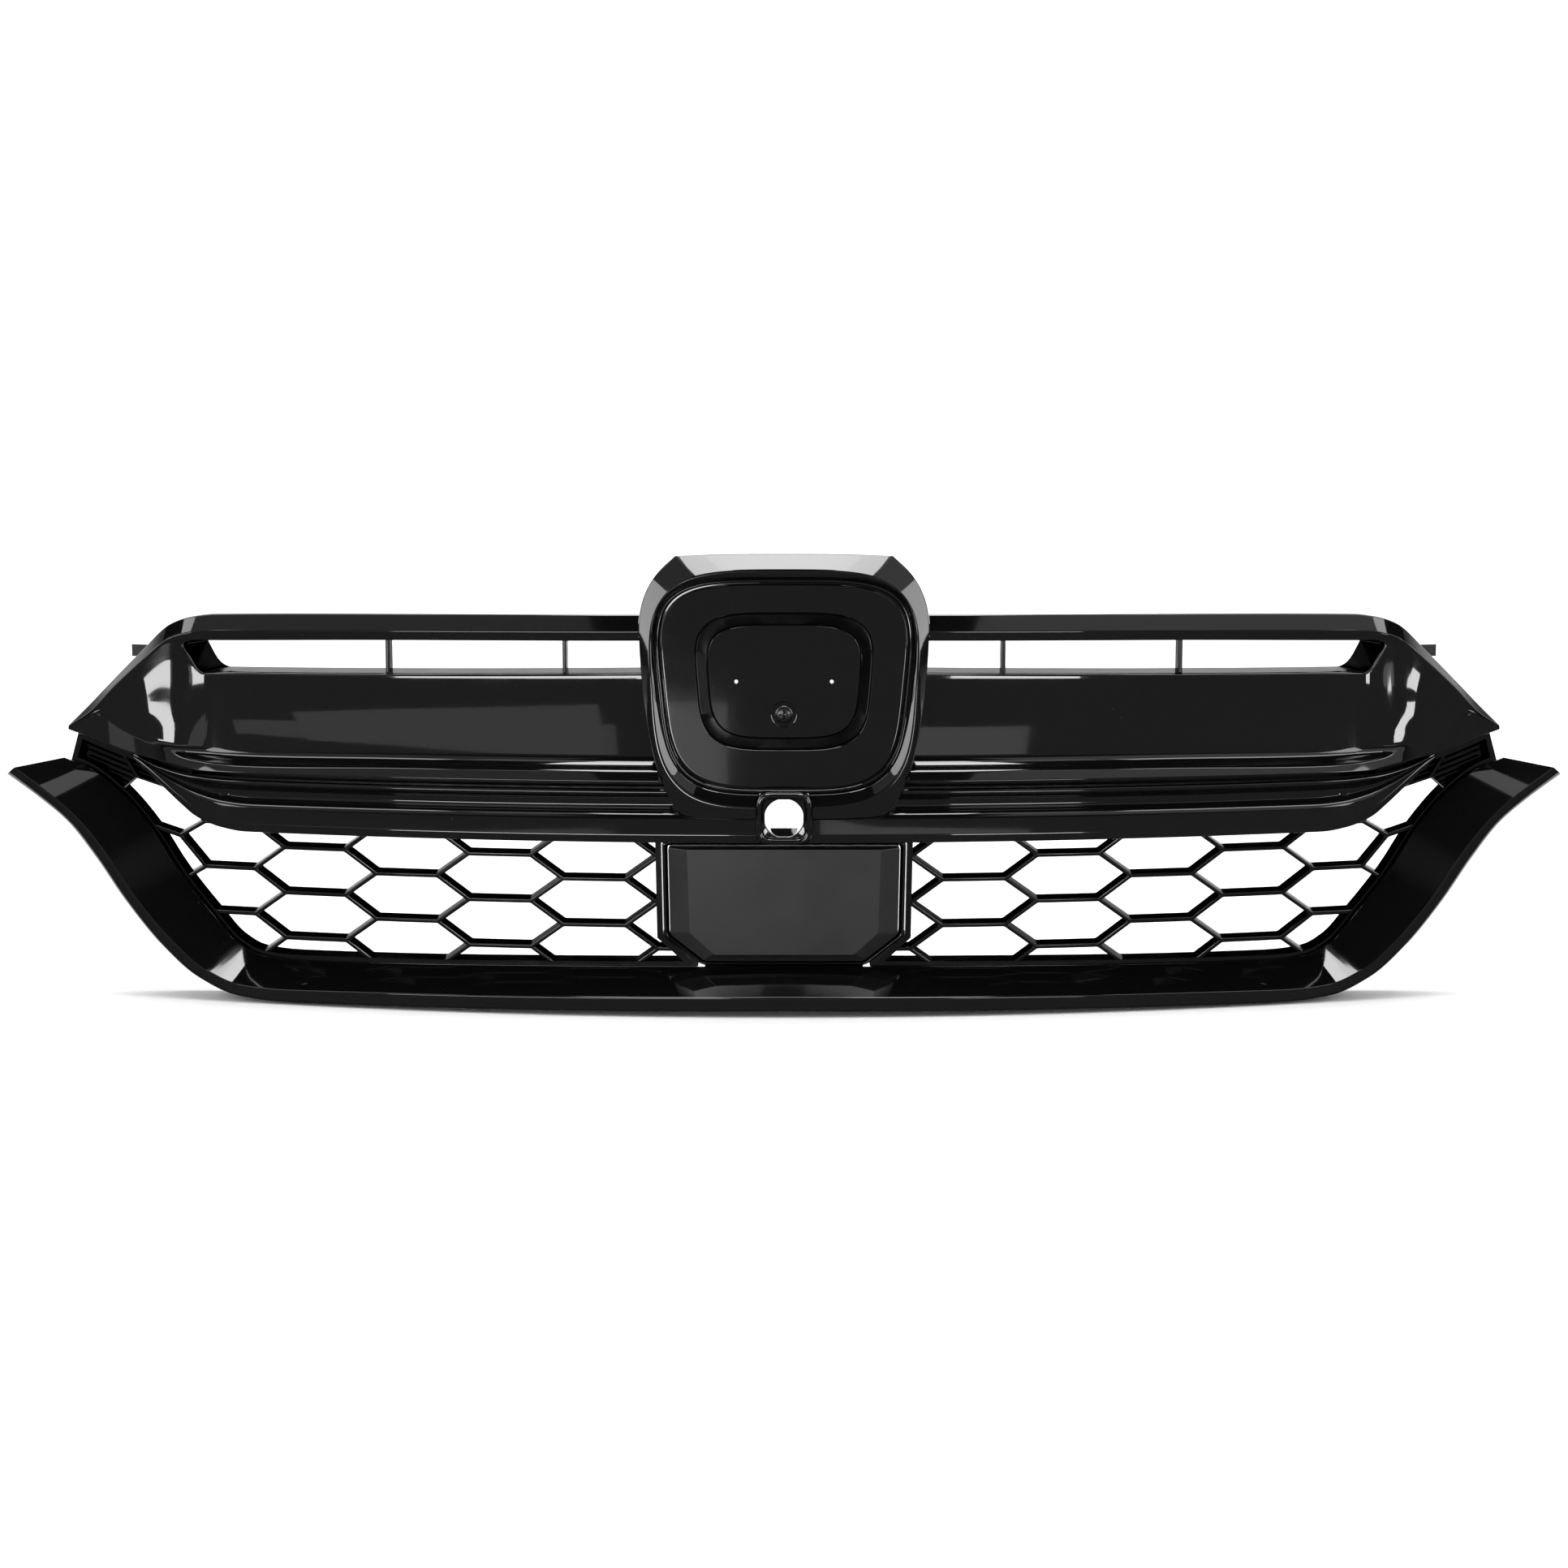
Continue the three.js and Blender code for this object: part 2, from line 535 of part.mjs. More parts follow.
/** The strap behind the camera bezel that carries the bar across the opening. */
function barBridge() {
  const [top, bottom] = [CAMERA.z - BRIDGE_DROP, barBottom(0)];
  const [front, back, halfWidth] = [CAMERA.back + 0.6, CAMERA.back + 3.6, 36];
  const strap = solid(block([-halfWidth, front, bottom], [halfWidth, back, top]));
  const feet = [-1, 1].map((side) => {
    const [low, high] = [side * (CAMERA.halfWidth + 3), side * halfWidth].sort((a, b) => a - b);
    return solid(block([low, front - 8, bottom], [high, back, bottom + WALL]));
  });
  return join(strap, ...feet);
}

function centreBar() {
  const outer = steps(400, barEnd, 8).slice(1);
  const half = [...steps(0, 400, 43), ...outer];
  const across = [...half.slice(1).reverse().map((x) => -x), ...half];
  const even = (profileAt) => (x) => profileAt(Math.abs(x));
  const hollow = across.filter((x) => Math.abs(x) < BAR_HOLLOW_END);
  const shell = moulding(even(barProfile), across, even(barInside), hollow);
  const front = cut(shell, frameCutter(GAP), cameraCutter);
  return withBosses(join(front, barBridge()), bothSides(barJoints));
}

// ---------------------------------------------------------------- lower trim
// Inner edge, outer edge and crease position of the ribbon, from the centre line out to the right tip.
const TRIM_STATIONS = [
  { inner: [0, -139.5], outer: [0, -170], crease: 0.6 },
  { inner: [140, -140.8], outer: [140, -171], crease: 0.6 },
  { inner: [284, -143], outer: [284, -172], crease: 0.6 },
  { inner: [368, -143.8], outer: [372, -172.8], crease: 0.62 },
  { inner: [397, -141.5], outer: [412, -170], crease: 0.66 },
  { inner: [416, -132.5], outer: [445, -157.5], crease: 0.7 },
  { inner: [436, -111], outer: [474, -134.5], crease: 0.74 },
  { inner: [461, -81], outer: [503, -101.5], crease: 0.76 },
  { inner: [484, -47], outer: [526, -70], crease: 0.76 },
  { inner: [508, -21], outer: [548, -44], crease: 0.76 },
  { inner: [533, -3.5], outer: [572, -26], crease: 0.77 },
  { inner: [554, 3.6], outer: [598.5, -9.5], crease: 0.8 },
];
const trimInnerHeights = smooth(...TRIM_STATIONS.map((station, i) => [i, station.inner[1]]));
const trimInnerX = smooth(...TRIM_STATIONS.map((station, i) => [i, station.inner[0]]));
const trimOuterHeights = smooth(...TRIM_STATIONS.map((station, i) => [i, station.outer[1]]));
const trimOuterX = smooth(...TRIM_STATIONS.map((station, i) => [i, station.outer[0]]));
const trimCrease = smooth(...TRIM_STATIONS.map((station, i) => [i, station.crease]));
const trimPeak = smooth([0, 0], [9, 0], [10, 1.2], [11, 4.6]); // how far the crease stands up at the tips

/** One section of the lower trim at a station number; side is 1 on the right and -1 on the left. */
function trimSection(station, side) {
  const inner = [trimInnerX(station), trimInnerHeights(station)];
  const outer = [trimOuterX(station), trimOuterHeights(station)];
  const width = Math.hypot(outer[0] - inner[0], outer[1] - inner[1]);
  const wall = WALL / width;
  const crease = trimCrease(station);
  const section = [
    [0, 18.6],
    [crease, -9],
    [0.94, -6.5],
    [1, 0],
    [1, 34],
    [1 - wall, 34],
    [1 - wall, 3],
    [crease, -4],
    [0.01, 21.6],
  ];
  return section.map(([share, depth]) => {
    const x = inner[0] + (outer[0] - inner[0]) * share;
    const peak = trimPeak(station) * Math.min(share / crease, (1 - share) / (1 - crease));
    return place(side * x, depth, inner[1] + (outer[1] - inner[1]) * share + peak);
  });
}

/** A trim screw joint: its boss starts inside the trim's skin, close behind the crease. */
const trimJoint = (name, x, z) => screwInto(name, x, z, -2.4, 30, 33);
const trimJoints = [
  trimJoint("trim_screw_inner", 100, -159.6),
  trimJoint("trim_screw_middle", 230, -160.8),
  trimJoint("trim_screw_outer", 360, -161.6),
];

function lowerTrim() {
  const stations = [...steps(0, 3, 0.34), ...steps(3, TRIM_STATIONS.length - 1, 0.5).slice(1)];
  const left = [...stations].reverse().map((station) => trimSection(station, -1));
  const right = stations.slice(1).map((station) => trimSection(station, 1));
  return withBosses(solid(skin([...left, ...right])), bothSides(trimJoints));
}

// ---------------------------------------------------------------- honeycomb inserts
/** The honeycomb insert's outline, right side: trim, outer end, behind the centre bar, radar surround. */
function insertOutline() {
  const stations = steps(0.5, 11, 0.5);
  const edge = stations.map((station) => [trimInnerX(station), trimInnerHeights(station)]);
  const bottom = [[64, -141], ...inset(edge, -RIM.behindTrim).filter(([x]) => x > 80 && x < 551)];
  const roof = steps(542, 452, 15).map((x) => [x, wingBottom(x) - 1.4]);
  const behindBar = [[448, -6], [445, -20], [438, -32], [418, -37]];
  const top = steps(400, 91.4, 60).map((x) => [x, -38.5]);
  const besideRadar = [90.1, -117.2];
  return [...bottom, ...roof, ...behindBar, ...top, besideRadar];
}

/** The cells narrow and rise towards the outer ends. */
function flank([x, z]) {
  if (x <= 402) return [x, z];
  const narrowed = 402 + (x - 402) * 0.83;
  return [narrowed, z + Math.max(0, narrowed - 441) * 0.28];
}

/** One honeycomb cell as a tool: its walls thicken from the front to the rear, as mould draft. */
function hexCell(x, z) {
  const half = HEX.flat / 2;
  const point = HEX.pitch - half;
  const rise = HEX.rowPitch / 2;
  const corners = [[-point, 0], [-half, -rise], [half, -rise], [point, 0], [half, rise], [-half, rise]];
  const centres = corners.map(([dx, dz]) => flank([x + dx, z + dz]));
  const loop = (width, depth) =>
    inset(centres, width / 2, true).map(([u, v]) => new THREE.Vector3(u, depth, v));
  return solid(skin([loop(BARS.frontWidth, BARS.front - 3), loop(BARS.backWidth, BARS.back + 3)]));
}

/** The part of the insert outside the cells: a closed, louvred corner that meets the wing and the trim. */
const CLOSED_CORNER = [[474, -15], [495, -10], [510, -23], [620, -60], [620, 60], [440, 60], [452, -10]];
const CORNER_RIBS = [[[507, 9], [495, -9.9]], [[495, -9.9], [474, -15.8]], [[495, -9.9], [509.4, -21.9]],
  [[494, 8], [478, -13]]];

/** A straight rib between two points of the front view. */
function rib([start, end], width, front, back) {
  const from = new THREE.Vector2(...start);
  const to = new THREE.Vector2(...end);
  const along = to.clone().sub(from).normalize();
  from.sub(along);
  to.add(along);
  const side = new THREE.Vector2(-along.y, along.x).multiplyScalar(width / 2);
  const nearSide = [from.clone().sub(side), to.clone().sub(side)];
  const corners = [...nearSide, to.clone().add(side), from.clone().add(side)];
  return solid(prism(outline(corners.map(({ x, y }) => [x, y])), front, back));
}

function honeycomb() {
  const edge = insertOutline();
  const inside = inset(edge, RIM.wall, true);
  const through = (pairs) => solid(prism(outline(pairs), RIM.front - 3, RIM.back + 3));
  const within = (amount, front, back) => solid(prism(outline(inset(edge, amount, true)), front, back));
  const corner = through(CLOSED_CORNER);
  const rim = cut(solid(prism(outline(edge), RIM.front, RIM.back)), through(inside));
  const cells = [];
  for (let column = 0; column < HEX.columns; column += 1) {
    const x = HEX.firstX + column * HEX.pitch;
    const shift = column % 2 ? 0 : HEX.rowPitch / 2;
    const top = HEX.topRow - shift;
    for (let row = -2; row < HEX.rows; row += 1) cells.push(hexCell(x, top - row * HEX.rowPitch));
  }
  const bars = cut(within(1, BARS.front, BARS.back), ...cells, corner);
  const cornerFace = within(1, LOUVRE.face, LOUVRE.back).intersect(corner);
  const slats = Array.from({ length: LOUVRE.count }, (_, i) => {
    const low = -24 + i * LOUVRE.pitch;
    return rib([[478, low], [478 + LOUVRE.length, low + LOUVRE.rise]], LOUVRE.height, LOUVRE.front,
      LOUVRE.face + 1);
  });
  const ribs = CORNER_RIBS.map((line) => rib(line, BARS.frontWidth, BARS.front, LOUVRE.face + 1.6));
  const clear = within(1.2, RIM.front - 3, RIM.back + 3);
  const details = join(join(...slats).intersect(corner), ...ribs).intersect(clear);
  return solid(pushBack(geometryOf(join(rim, bars, cornerFace, details)), setBack));
}

// ---------------------------------------------------------------- radar surround and cover
/** A right-half outline closed by its mirror image. */
const symmetric = (half) => [...half, ...mirrored(half)];

/** The gloss border of the radar cover, with a lip that closes the gap behind the lower trim. */
function radarSurround() {
  const outer = symmetric([[90.3, -45.6], [89, -116.6], [61, -138.7]]);
  const inner = symmetric([[86.3, -48.3], [85, -114.8], [59.3, -135.2]]);
  const ring = cut(solid(prism(outline(outer), 18, 44)), solid(prism(outline(inner), 10, 50)));
  return join(ring, solid(block([-59, 24, -144], [59, 27, -137])));
}

function radarCover() {
  const at = (pairs, depth) => pairs.map(([x, z]) => new THREE.Vector3(x, depth, z));
  const rim = symmetric([[85.6, -48.9], [84.3, -114.5], [58.9, -134.6]]);
  const step = symmetric([[82.6, -49], [81.3, -113.3], [57.6, -132.2]]);
  const panel = symmetric([[71.5, -49.4], [69.6, -112.2], [51.6, -128.6]]);
  const hollow = symmetric([[79, -52], [77, -112], [55, -130]]);
  return cut(solid(skin([at(rim, 26), at(rim, 14), at(step, 12), at(panel, 7)])),
    solid(prism(outline(hollow), 17, 30)));
}

// ---------------------------------------------------------------- badge base and backing
const badgeScrewPlaces = [[-58, 118], [58, 118], [-52, 22], [52, 22]];

function badgeBase() {
  const plate = solid(prism(outline(roundedLoop(BADGE, 48, -GAP)), 0, 4));
  const groove = cut(solid(prism(outline(roundedLoop(SEAT, 36)), -1, SEAT.recess)),
    solid(prism(outline(roundedLoop(SEAT, 36, -SEAT.grooveWidth)), -2, SEAT.recess + 1)));
  const screwHole = solid(rod(2.4, 0, BADGE_SCREW.z, -1, 9));
  const counterbore = solid(rod(9, 0, BADGE_SCREW.z, -1, 1.2, 20));
  const pins = [-1, 1].map((side) => solid(rod(SEAT_PINS.radius, side * SEAT_PINS.x, SEAT_PINS.z, -1, 9)));
  const bosses = badgeScrewPlaces.map(([x, z]) => solid(rod(BOSS.radius, x, z, 3, 11.6)));
  const pilots = badgeScrewPlaces.map(([x, z]) => solid(rod(BOSS.pilot, x, z, 3.4, 12, 6)));
  const base = cut(join(plate, ...bosses), groove, screwHole, counterbore, ...pins, ...pilots);
  return solid(pushBack(geometryOf(base), (_, z) => badgeFace(z)));
}

function badgeBacking() {
  const plate = solid(prism(outline(roundedLoop(BADGE, 40, -9)), 12, 15));
  const window = solid(prism(outline(roundedLoop({ ...BADGE, z: 74 }, 24, -34)), 10, 17));
  const cross = solid(prism(outline([[-60, 42], [60, 42], [60, 58], [-60, 58]]), 12, 15));
  const screwHole = solid(rod(BOSS.pilot, 0, BADGE_SCREW.z, 8, 20, 6));
  const holes = badgeScrewPlaces.map(([x, z]) => solid(rod(BOSS.clearance, x, z, 8, 20)));
  const flat = cut(join(cut(plate, window), cross), screwHole, ...holes);
  const leaning = solid(pushBack(geometryOf(flat), (_, z) => badgeFace(z)));
  const neck = solid(block([-PAD.halfWidth, 30.5, 128], [PAD.halfWidth, 33.5, PAD.z + WALL]));
  const rear = PAD.y + PAD.halfDepth;
  const shelf = solid(block([-PAD.halfWidth, 30.5, PAD.z], [PAD.halfWidth, rear, PAD.z + WALL]));
  const gussets = [-1, 1].map((side) => {
    const x = side * (PAD.halfWidth - WALL / 2);
    const web = new THREE.Shape([[30.5, 128], [33.5, 128], [62, PAD.z + 1], [30.5, PAD.z + 1]].map(
      ([y, z]) => new THREE.Vector2(y, z)));
    const geometry = new THREE.ExtrudeGeometry(web, { depth: WALL, bevelEnabled: false });
    geometry.rotateX(Math.PI / 2).rotateZ(Math.PI / 2);
    return solid(geometry.translate(x + WALL / 2, 0, 0));
  });
  const slots = [-1, 1].map((side) => {
    const shape = roundedRectangle(6, 4, 3.9, PAD.y);
    const cut = new THREE.ExtrudeGeometry(shape, { depth: 20, bevelEnabled: false, curveSegments: 5 });
    return solid(cut.translate(side * 22, 0, PAD.z - 8));
  });
  return cut(join(leaning, neck, shelf, ...gussets), ...slots);
}

// ---------------------------------------------------------------- rear carrier
/** A carrier beam that follows the sweep, from its section of [depth, z] pairs. */
function beam(section, from, to) {
  return solid(skin(steps(from, to, 45).map((x) => section.map(([depth, z]) => place(x, depth, z)))));
}

const BEAM_END = 432;

/** Where the beams' flanges stop short, so that the side supports lie against the webs. */
const sideNotches = [-1, 1].map((side) => {
  const shape = [[WEB.back, -60], [WEB.flangeBack + 5, -60], [WEB.flangeBack + 5, 130], [WEB.back, 130]];
  const [low, high] = [side * (SIDE.inner - 2), side * (BEAM_END + 5)].sort((a, b) => a - b);
  return beam(shape, low, high);
});

const TAB = { places: [170, 330], halfWidth: 17, back: 88, low: 107, high: 110, hole: 4 };

function upperSupport() {
  const section = [[WEB.front, 104.2], [WEB.flangeBack, 104.2], [WEB.flangeBack, 107.2], [WEB.back, 107.2],
    [WEB.back, 113], [WEB.front, 113]];
  const both = TAB.places.flatMap((x) => [-x, x]);
  const tabs = both.map((x) => {
    const base = setBack(x);
    const [inner, outer] = [x - TAB.halfWidth, x + TAB.halfWidth];
    const plate = block([inner, base + 50, TAB.low], [outer, base + TAB.back, TAB.high]);
    const inward = Math.sign(x) * 7;
    const hole = new THREE.CylinderGeometry(TAB.hole, TAB.hole, 20, 14).rotateX(Math.PI / 2);
    return solid(plate).subtract(solid(hole.translate(x - inward, base + 76, TAB.low)));
  });
  const bar = cut(beam(section, -BEAM_END, BEAM_END), ...sideNotches);
  return withHoles(join(bar, ...tabs), bothSides(wingJoints.slice(0, 3)));
}

function middleSupport() {
  const section = [[WEB.front, -34], [WEB.flangeBack, -34], [WEB.flangeBack, -31], [WEB.back, -31],
    [WEB.back, 27], [WEB.flangeBack, 27], [WEB.flangeBack, 30], [WEB.front, 30]];
  const joints = bothSides([...wingJoints.slice(3), ...barJoints]);
  const cameraWindow = solid(block([-26, 30, -40], [26, 80, -8]));
  return withHoles(cut(beam(section, -BEAM_END, BEAM_END), cameraWindow, ...sideNotches), joints);
}

const LOWER_FLANGE = { back: 55, low: -152.5, high: -149.5 };

function lowerSupport() {
  const { back, low, high } = LOWER_FLANGE;
  const section = [[30, -166], [33, -166], [33, low], [back, low], [back, high], [30, high]];
  return withHoles(beam(section, -382, 382), bothSides(trimJoints));
}

/** The upright that ties the upper and middle supports together behind a wing, with its headlamp tab. */
function sideSupport() {
  const { inner, outer, front, back, low, high } = SIDE;
  const plate = (pairs, depth0, depth1) => solid(pushBack(prism(outline(pairs), depth0, depth1), setBack));
  const shoulder = [[outer, high - 10.5], [448, high - 4.5], [430, high]];
  const upright = plate([[inner, low], [outer, low], ...shoulder, [inner, high]], front, back);
  const lip = plate([[outer - WALL, low], [outer, low], [outer, high - 10.5], [outer - WALL, high - 10]],
    front, front + 10);
  const tab = plate([[outer - WALL, 80], [504, 80], [504, 89], [outer - WALL, 89]], front + 8, front + 11);
  const duct = outline(slotOutline(LINER.wall + 1));
  const ductWindow = solid(pushBack(prism(duct, front - 8, back + 16), setBack));
  const joints = [wingJoints[2], wingJoints[4], barJoints[1], sideJoint];
  return withHoles(cut(join(upright, lip, tab), ductWindow), joints);
}

// ---------------------------------------------------------------- fasteners
function screwBody(length = SCREW.length, head = SCREW.head) {
  const { headHeight, shank } = SCREW;
  const profile = [[0, -length], [shank, 3 - length], [shank, 0], [head, 0], [head * 0.7, headHeight],
    [0, headHeight]].map(([radius, along]) => new THREE.Vector2(radius, along));
  return solid(new THREE.LatheGeometry(profile, 8));
}

/** A spring-steel U-clip pressed over the lower flange's rear edge. */
function springClip(x) {
  const { back, low, high } = LOWER_FLANGE;
  const [inside, sheet, reach, half] = [0.5, 1, 11, 6];
  const lift = setBack(x + Math.sign(x) * half) - setBack(x);
  const rear = setBack(x) + back + lift + inside;
  const front = rear - reach;
  const section = [
    [front, low - inside], [rear, low - inside], [rear, high + inside], [front, high + inside],
    [front, high + inside + sheet], [rear + sheet, high + inside + sheet],
    [rear + sheet, low - inside - sheet], [front, low - inside - sheet],
  ];
  return solid(skin([x - half, x + half].map((at) => section.map(([y, z]) => new THREE.Vector3(at, y, z)))));
}

// ---------------------------------------------------------------- assembly
addPair("upper_wing", upperWing(), GLOSS_BLACK);
addPair("slot_liner", slotLiner(), STRUCTURE_BLACK);
addPart("badge_frame", badgeFrame().subtract(cameraCutter), GLOSS_BLACK);
addPart("badge_base", badgeBase(), GLOSS_BLACK);
addPart("badge_backing", badgeBacking(), STRUCTURE_BLACK);
addPart("centre_bar", centreBar(), GLOSS_BLACK);
addPair("honeycomb", honeycomb(), GLOSS_BLACK);
addPart("radar_surround", radarSurround(), GLOSS_BLACK);
addPart("radar_cover", radarCover(), SATIN_BLACK);
addPart("camera_bezel", cameraBezel(), GLOSS_BLACK);
addPart("camera_bracket", cameraBracket(), STRUCTURE_BLACK);
addPart("lower_trim", lowerTrim(), GLOSS_BLACK);
addPart("upper_support", upperSupport(), STRUCTURE_BLACK);
addPart("middle_support", middleSupport(), STRUCTURE_BLACK);
addPart("lower_support", lowerSupport(), STRUCTURE_BLACK);
addPair("side_support", sideSupport(), STRUCTURE_BLACK);

const screw = screwBody();
screwPoints.forEach(({ name, x, z, seat }) =>
  [["right", 1], ["left", -1]].forEach(([side, sign]) => {
    addPart(`${name}_${side}`, screw, ZINC).position.set(sign * x, seat, z);
  }));

badgeScrewPlaces.forEach(([x, z], i) => {
  const seat = badgeFace(z) + 15 + GAP + SCREW.head * BADGE_FACE.slope;
  addPart(`badge_screw_${i + 1}`, screwBody(11), ZINC).position.set(x, seat, z);
});
const badgeScrew = addPart("badge_centre_screw", screwBody(SCREW.length, BADGE_SCREW.head), ZINC);
badgeScrew.position.set(0, badgeFace(BADGE_SCREW.z) + 0.6, BADGE_SCREW.z);
badgeScrew.rotation.x = Math.PI;

[60, 180, 320].forEach((x, i) => addPair(`spring_clip_${i + 1}`, springClip(x), ZINC));

const grille = new THREE.Group();
grille.add(styling);

export default grille;
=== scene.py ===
import math

import bmesh
import bpy
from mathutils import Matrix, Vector


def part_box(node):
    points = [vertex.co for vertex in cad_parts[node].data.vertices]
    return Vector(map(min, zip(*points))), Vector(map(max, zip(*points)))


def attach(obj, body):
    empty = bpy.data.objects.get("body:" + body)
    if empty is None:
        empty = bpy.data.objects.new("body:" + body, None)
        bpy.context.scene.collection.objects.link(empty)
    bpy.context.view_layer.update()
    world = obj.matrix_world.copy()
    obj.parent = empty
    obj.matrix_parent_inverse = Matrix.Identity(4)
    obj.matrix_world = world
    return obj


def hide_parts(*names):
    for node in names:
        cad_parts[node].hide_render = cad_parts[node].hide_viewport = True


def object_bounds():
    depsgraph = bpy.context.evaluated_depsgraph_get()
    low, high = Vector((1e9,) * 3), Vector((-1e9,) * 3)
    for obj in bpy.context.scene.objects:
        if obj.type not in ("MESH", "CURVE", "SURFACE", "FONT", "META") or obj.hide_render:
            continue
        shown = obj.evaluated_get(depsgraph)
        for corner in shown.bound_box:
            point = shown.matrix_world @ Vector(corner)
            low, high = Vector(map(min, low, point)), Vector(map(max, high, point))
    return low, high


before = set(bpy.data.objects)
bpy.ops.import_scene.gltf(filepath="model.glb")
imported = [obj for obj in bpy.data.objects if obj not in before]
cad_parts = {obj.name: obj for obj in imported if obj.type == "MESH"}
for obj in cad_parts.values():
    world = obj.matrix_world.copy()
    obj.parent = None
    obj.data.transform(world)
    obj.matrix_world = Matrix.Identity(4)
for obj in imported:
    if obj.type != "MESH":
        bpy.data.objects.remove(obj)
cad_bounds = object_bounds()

MM = 0.001
ORIGIN_Y = 80.0  # the frame's origin, the upper pad's underside, in styling millimetres
ORIGIN_Z = 148.0
PLAN_RADIUS = 1500.0  # plan sweep of the whole front
WALL = 3.0
GAP = 0.5

# ---- points, rails and outlines


def set_back(x):
    """How far the front is set back at x by the plan sweep."""
    return x * x / (2 * PLAN_RADIUS)


def spot(x, y, z):
    """A styling point in the frame's metres."""
    return Vector((x, y - ORIGIN_Y, z - ORIGIN_Z)) * MM


def place(x, depth, z):
    """A point given by its depth behind the swept front datum."""
    return spot(x, set_back(x) + depth, z)


def smooth(*pairs):
    """A smooth function through (position, value) pairs that never overshoots them."""
    last = len(pairs) - 1
    slopes = [(pairs[i + 1][1] - pairs[i][1]) / (pairs[i + 1][0] - pairs[i][0]) for i in range(last)]
    tangents = [slopes[0]]
    for before, after in zip(slopes, slopes[1:]):
        tangents.append(0.0 if before * after <= 0 else 2 * before * after / (before + after))
    tangents.append(slopes[-1])

    def value(position):
        at = min(max(position, pairs[0][0]), pairs[last][0])
        i = 0
        while i < last - 1 and at > pairs[i + 1][0]:
            i += 1
        span = pairs[i + 1][0] - pairs[i][0]
        t = (at - pairs[i][0]) / span
        rise = t * t * (3 - 2 * t)
        bend = t * (1 - t) * span * ((1 - t) * tangents[i] - t * tangents[i + 1])
        return pairs[i][1] + (pairs[i + 1][1] - pairs[i][1]) * rise + bend

    return value


def steps(first, last, longest):
    """Even steps from first to last, at most longest apart."""
    count = math.ceil(abs(last - first) / longest - 1e-9)
    return [first + (last - first) * i / count for i in range(count + 1)]


def rounded(points, radius, closed=False, arc=4):
    """An outline with its corners turned into short arcs, each of the same number of points."""
    points = [Vector(p) for p in points]
    made = []
    for i, corner in enumerate(points):
        if not closed and i in (0, len(points) - 1):
            made.append(corner)
            continue
        before = points[i - 1] - corner
        after = points[(i + 1) % len(points)] - corner
        wanted = radius if isinstance(radius, (int, float)) else radius[i]
        reach = min(wanted, 0.48 * before.length, 0.48 * after.length)
        start = corner + before.normalized() * reach
        end = corner + after.normalized() * reach
        for k in range(arc + 1):
            t = k / arc
            made.append(start * (1 - t) ** 2 + corner * (2 * t * (1 - t)) + end * t * t)
    return made


def inset(pairs, distance, closed=False):
    """An outline moved towards the right-hand side of its direction by a distance."""
    points = [Vector(p) for p in pairs]
    count = len(points)

    def normal_after(i):
        along = (points[(i + 1) % count] - points[i]).normalized()
        return Vector((-along.y, along.x))

    made = []
    for i, p in enumerate(points):
        before = normal_after(0) if i == 0 and not closed else normal_after((i - 1) % count)
        after = before if i == count - 1 and not closed else normal_after(i)
        made.append(p + (before + after) * (distance / (1 + before.dot(after))))
    return made


def curve_through(points, spans=6):
    """A smooth open curve through points."""
    ends = [Vector(points[0]) * 2 - Vector(points[1]), Vector(points[-1]) * 2 - Vector(points[-2])]
    chain = [ends[0], *map(Vector, points), ends[1]]
    made = []
    for p0, p1, p2, p3 in zip(chain, chain[1:], chain[2:], chain[3:]):
        for k in range(spans):
            t = k / spans
            bend = (p1 * 2 + (p2 - p0) * t + (p0 * 2 - p1 * 5 + p2 * 4 - p3) * t * t
                    + (p1 * 3 - p0 - p2 * 3 + p3) * t ** 3)
            made.append(bend * 0.5)
    made.append(Vector(points[-1]))
    return made


def superellipse(half_width, half_height, z, taper, power, count, grow=0.0):
    """Points round a tapered rounded rectangle in the front view."""
    made = []
    for i in range(count):
        angle = (i + 0.5) / count * 2 * math.pi
        across, up = (math.copysign(abs(v) ** (2 / power), v) for v in (math.cos(angle), math.sin(angle)))
        height = (half_height + grow) * up
        made.append(Vector(((half_width + grow + taper * height) * across, z + height)))
    return made


def ray_hit(outline, centre, towards):
    """Where a ray from the centre towards a point meets a closed outline."""
    direction = towards - centre
    for here, after in zip(outline, [*outline[1:], outline[0]]):
        a, e = here - centre, after - here
        det = direction.x * e.y - direction.y * e.x
        if abs(det) < 1e-9:
            continue
        along = (a.x * e.y - a.y * e.x) / det
        share = (a.x * direction.y - a.y * direction.x) / det
        if along > 0 and -1e-9 <= share <= 1 + 1e-9:
            return centre + direction * along
    raise ValueError("the outline does not surround its centre")


# ---- mesh tools


def add_object(name, data):
    """A new object in the scene."""
    made = bpy.data.objects.new(name, data)
    bpy.context.scene.collection.objects.link(made)
    return made


def mesh_object(name, points, faces):
    """An object of a closed mesh whose faces point out."""
    mesh = bpy.data.meshes.new(name)
    mesh.from_pydata([tuple(p) for p in points], [], faces)
    work = bmesh.new()
    work.from_mesh(mesh)
    bmesh.ops.remove_doubles(work, verts=work.verts, dist=1e-7)
    bmesh.ops.recalc_face_normals(work, faces=work.faces)
    work.to_mesh(mesh)
    work.free()
    return add_object(name, mesh)


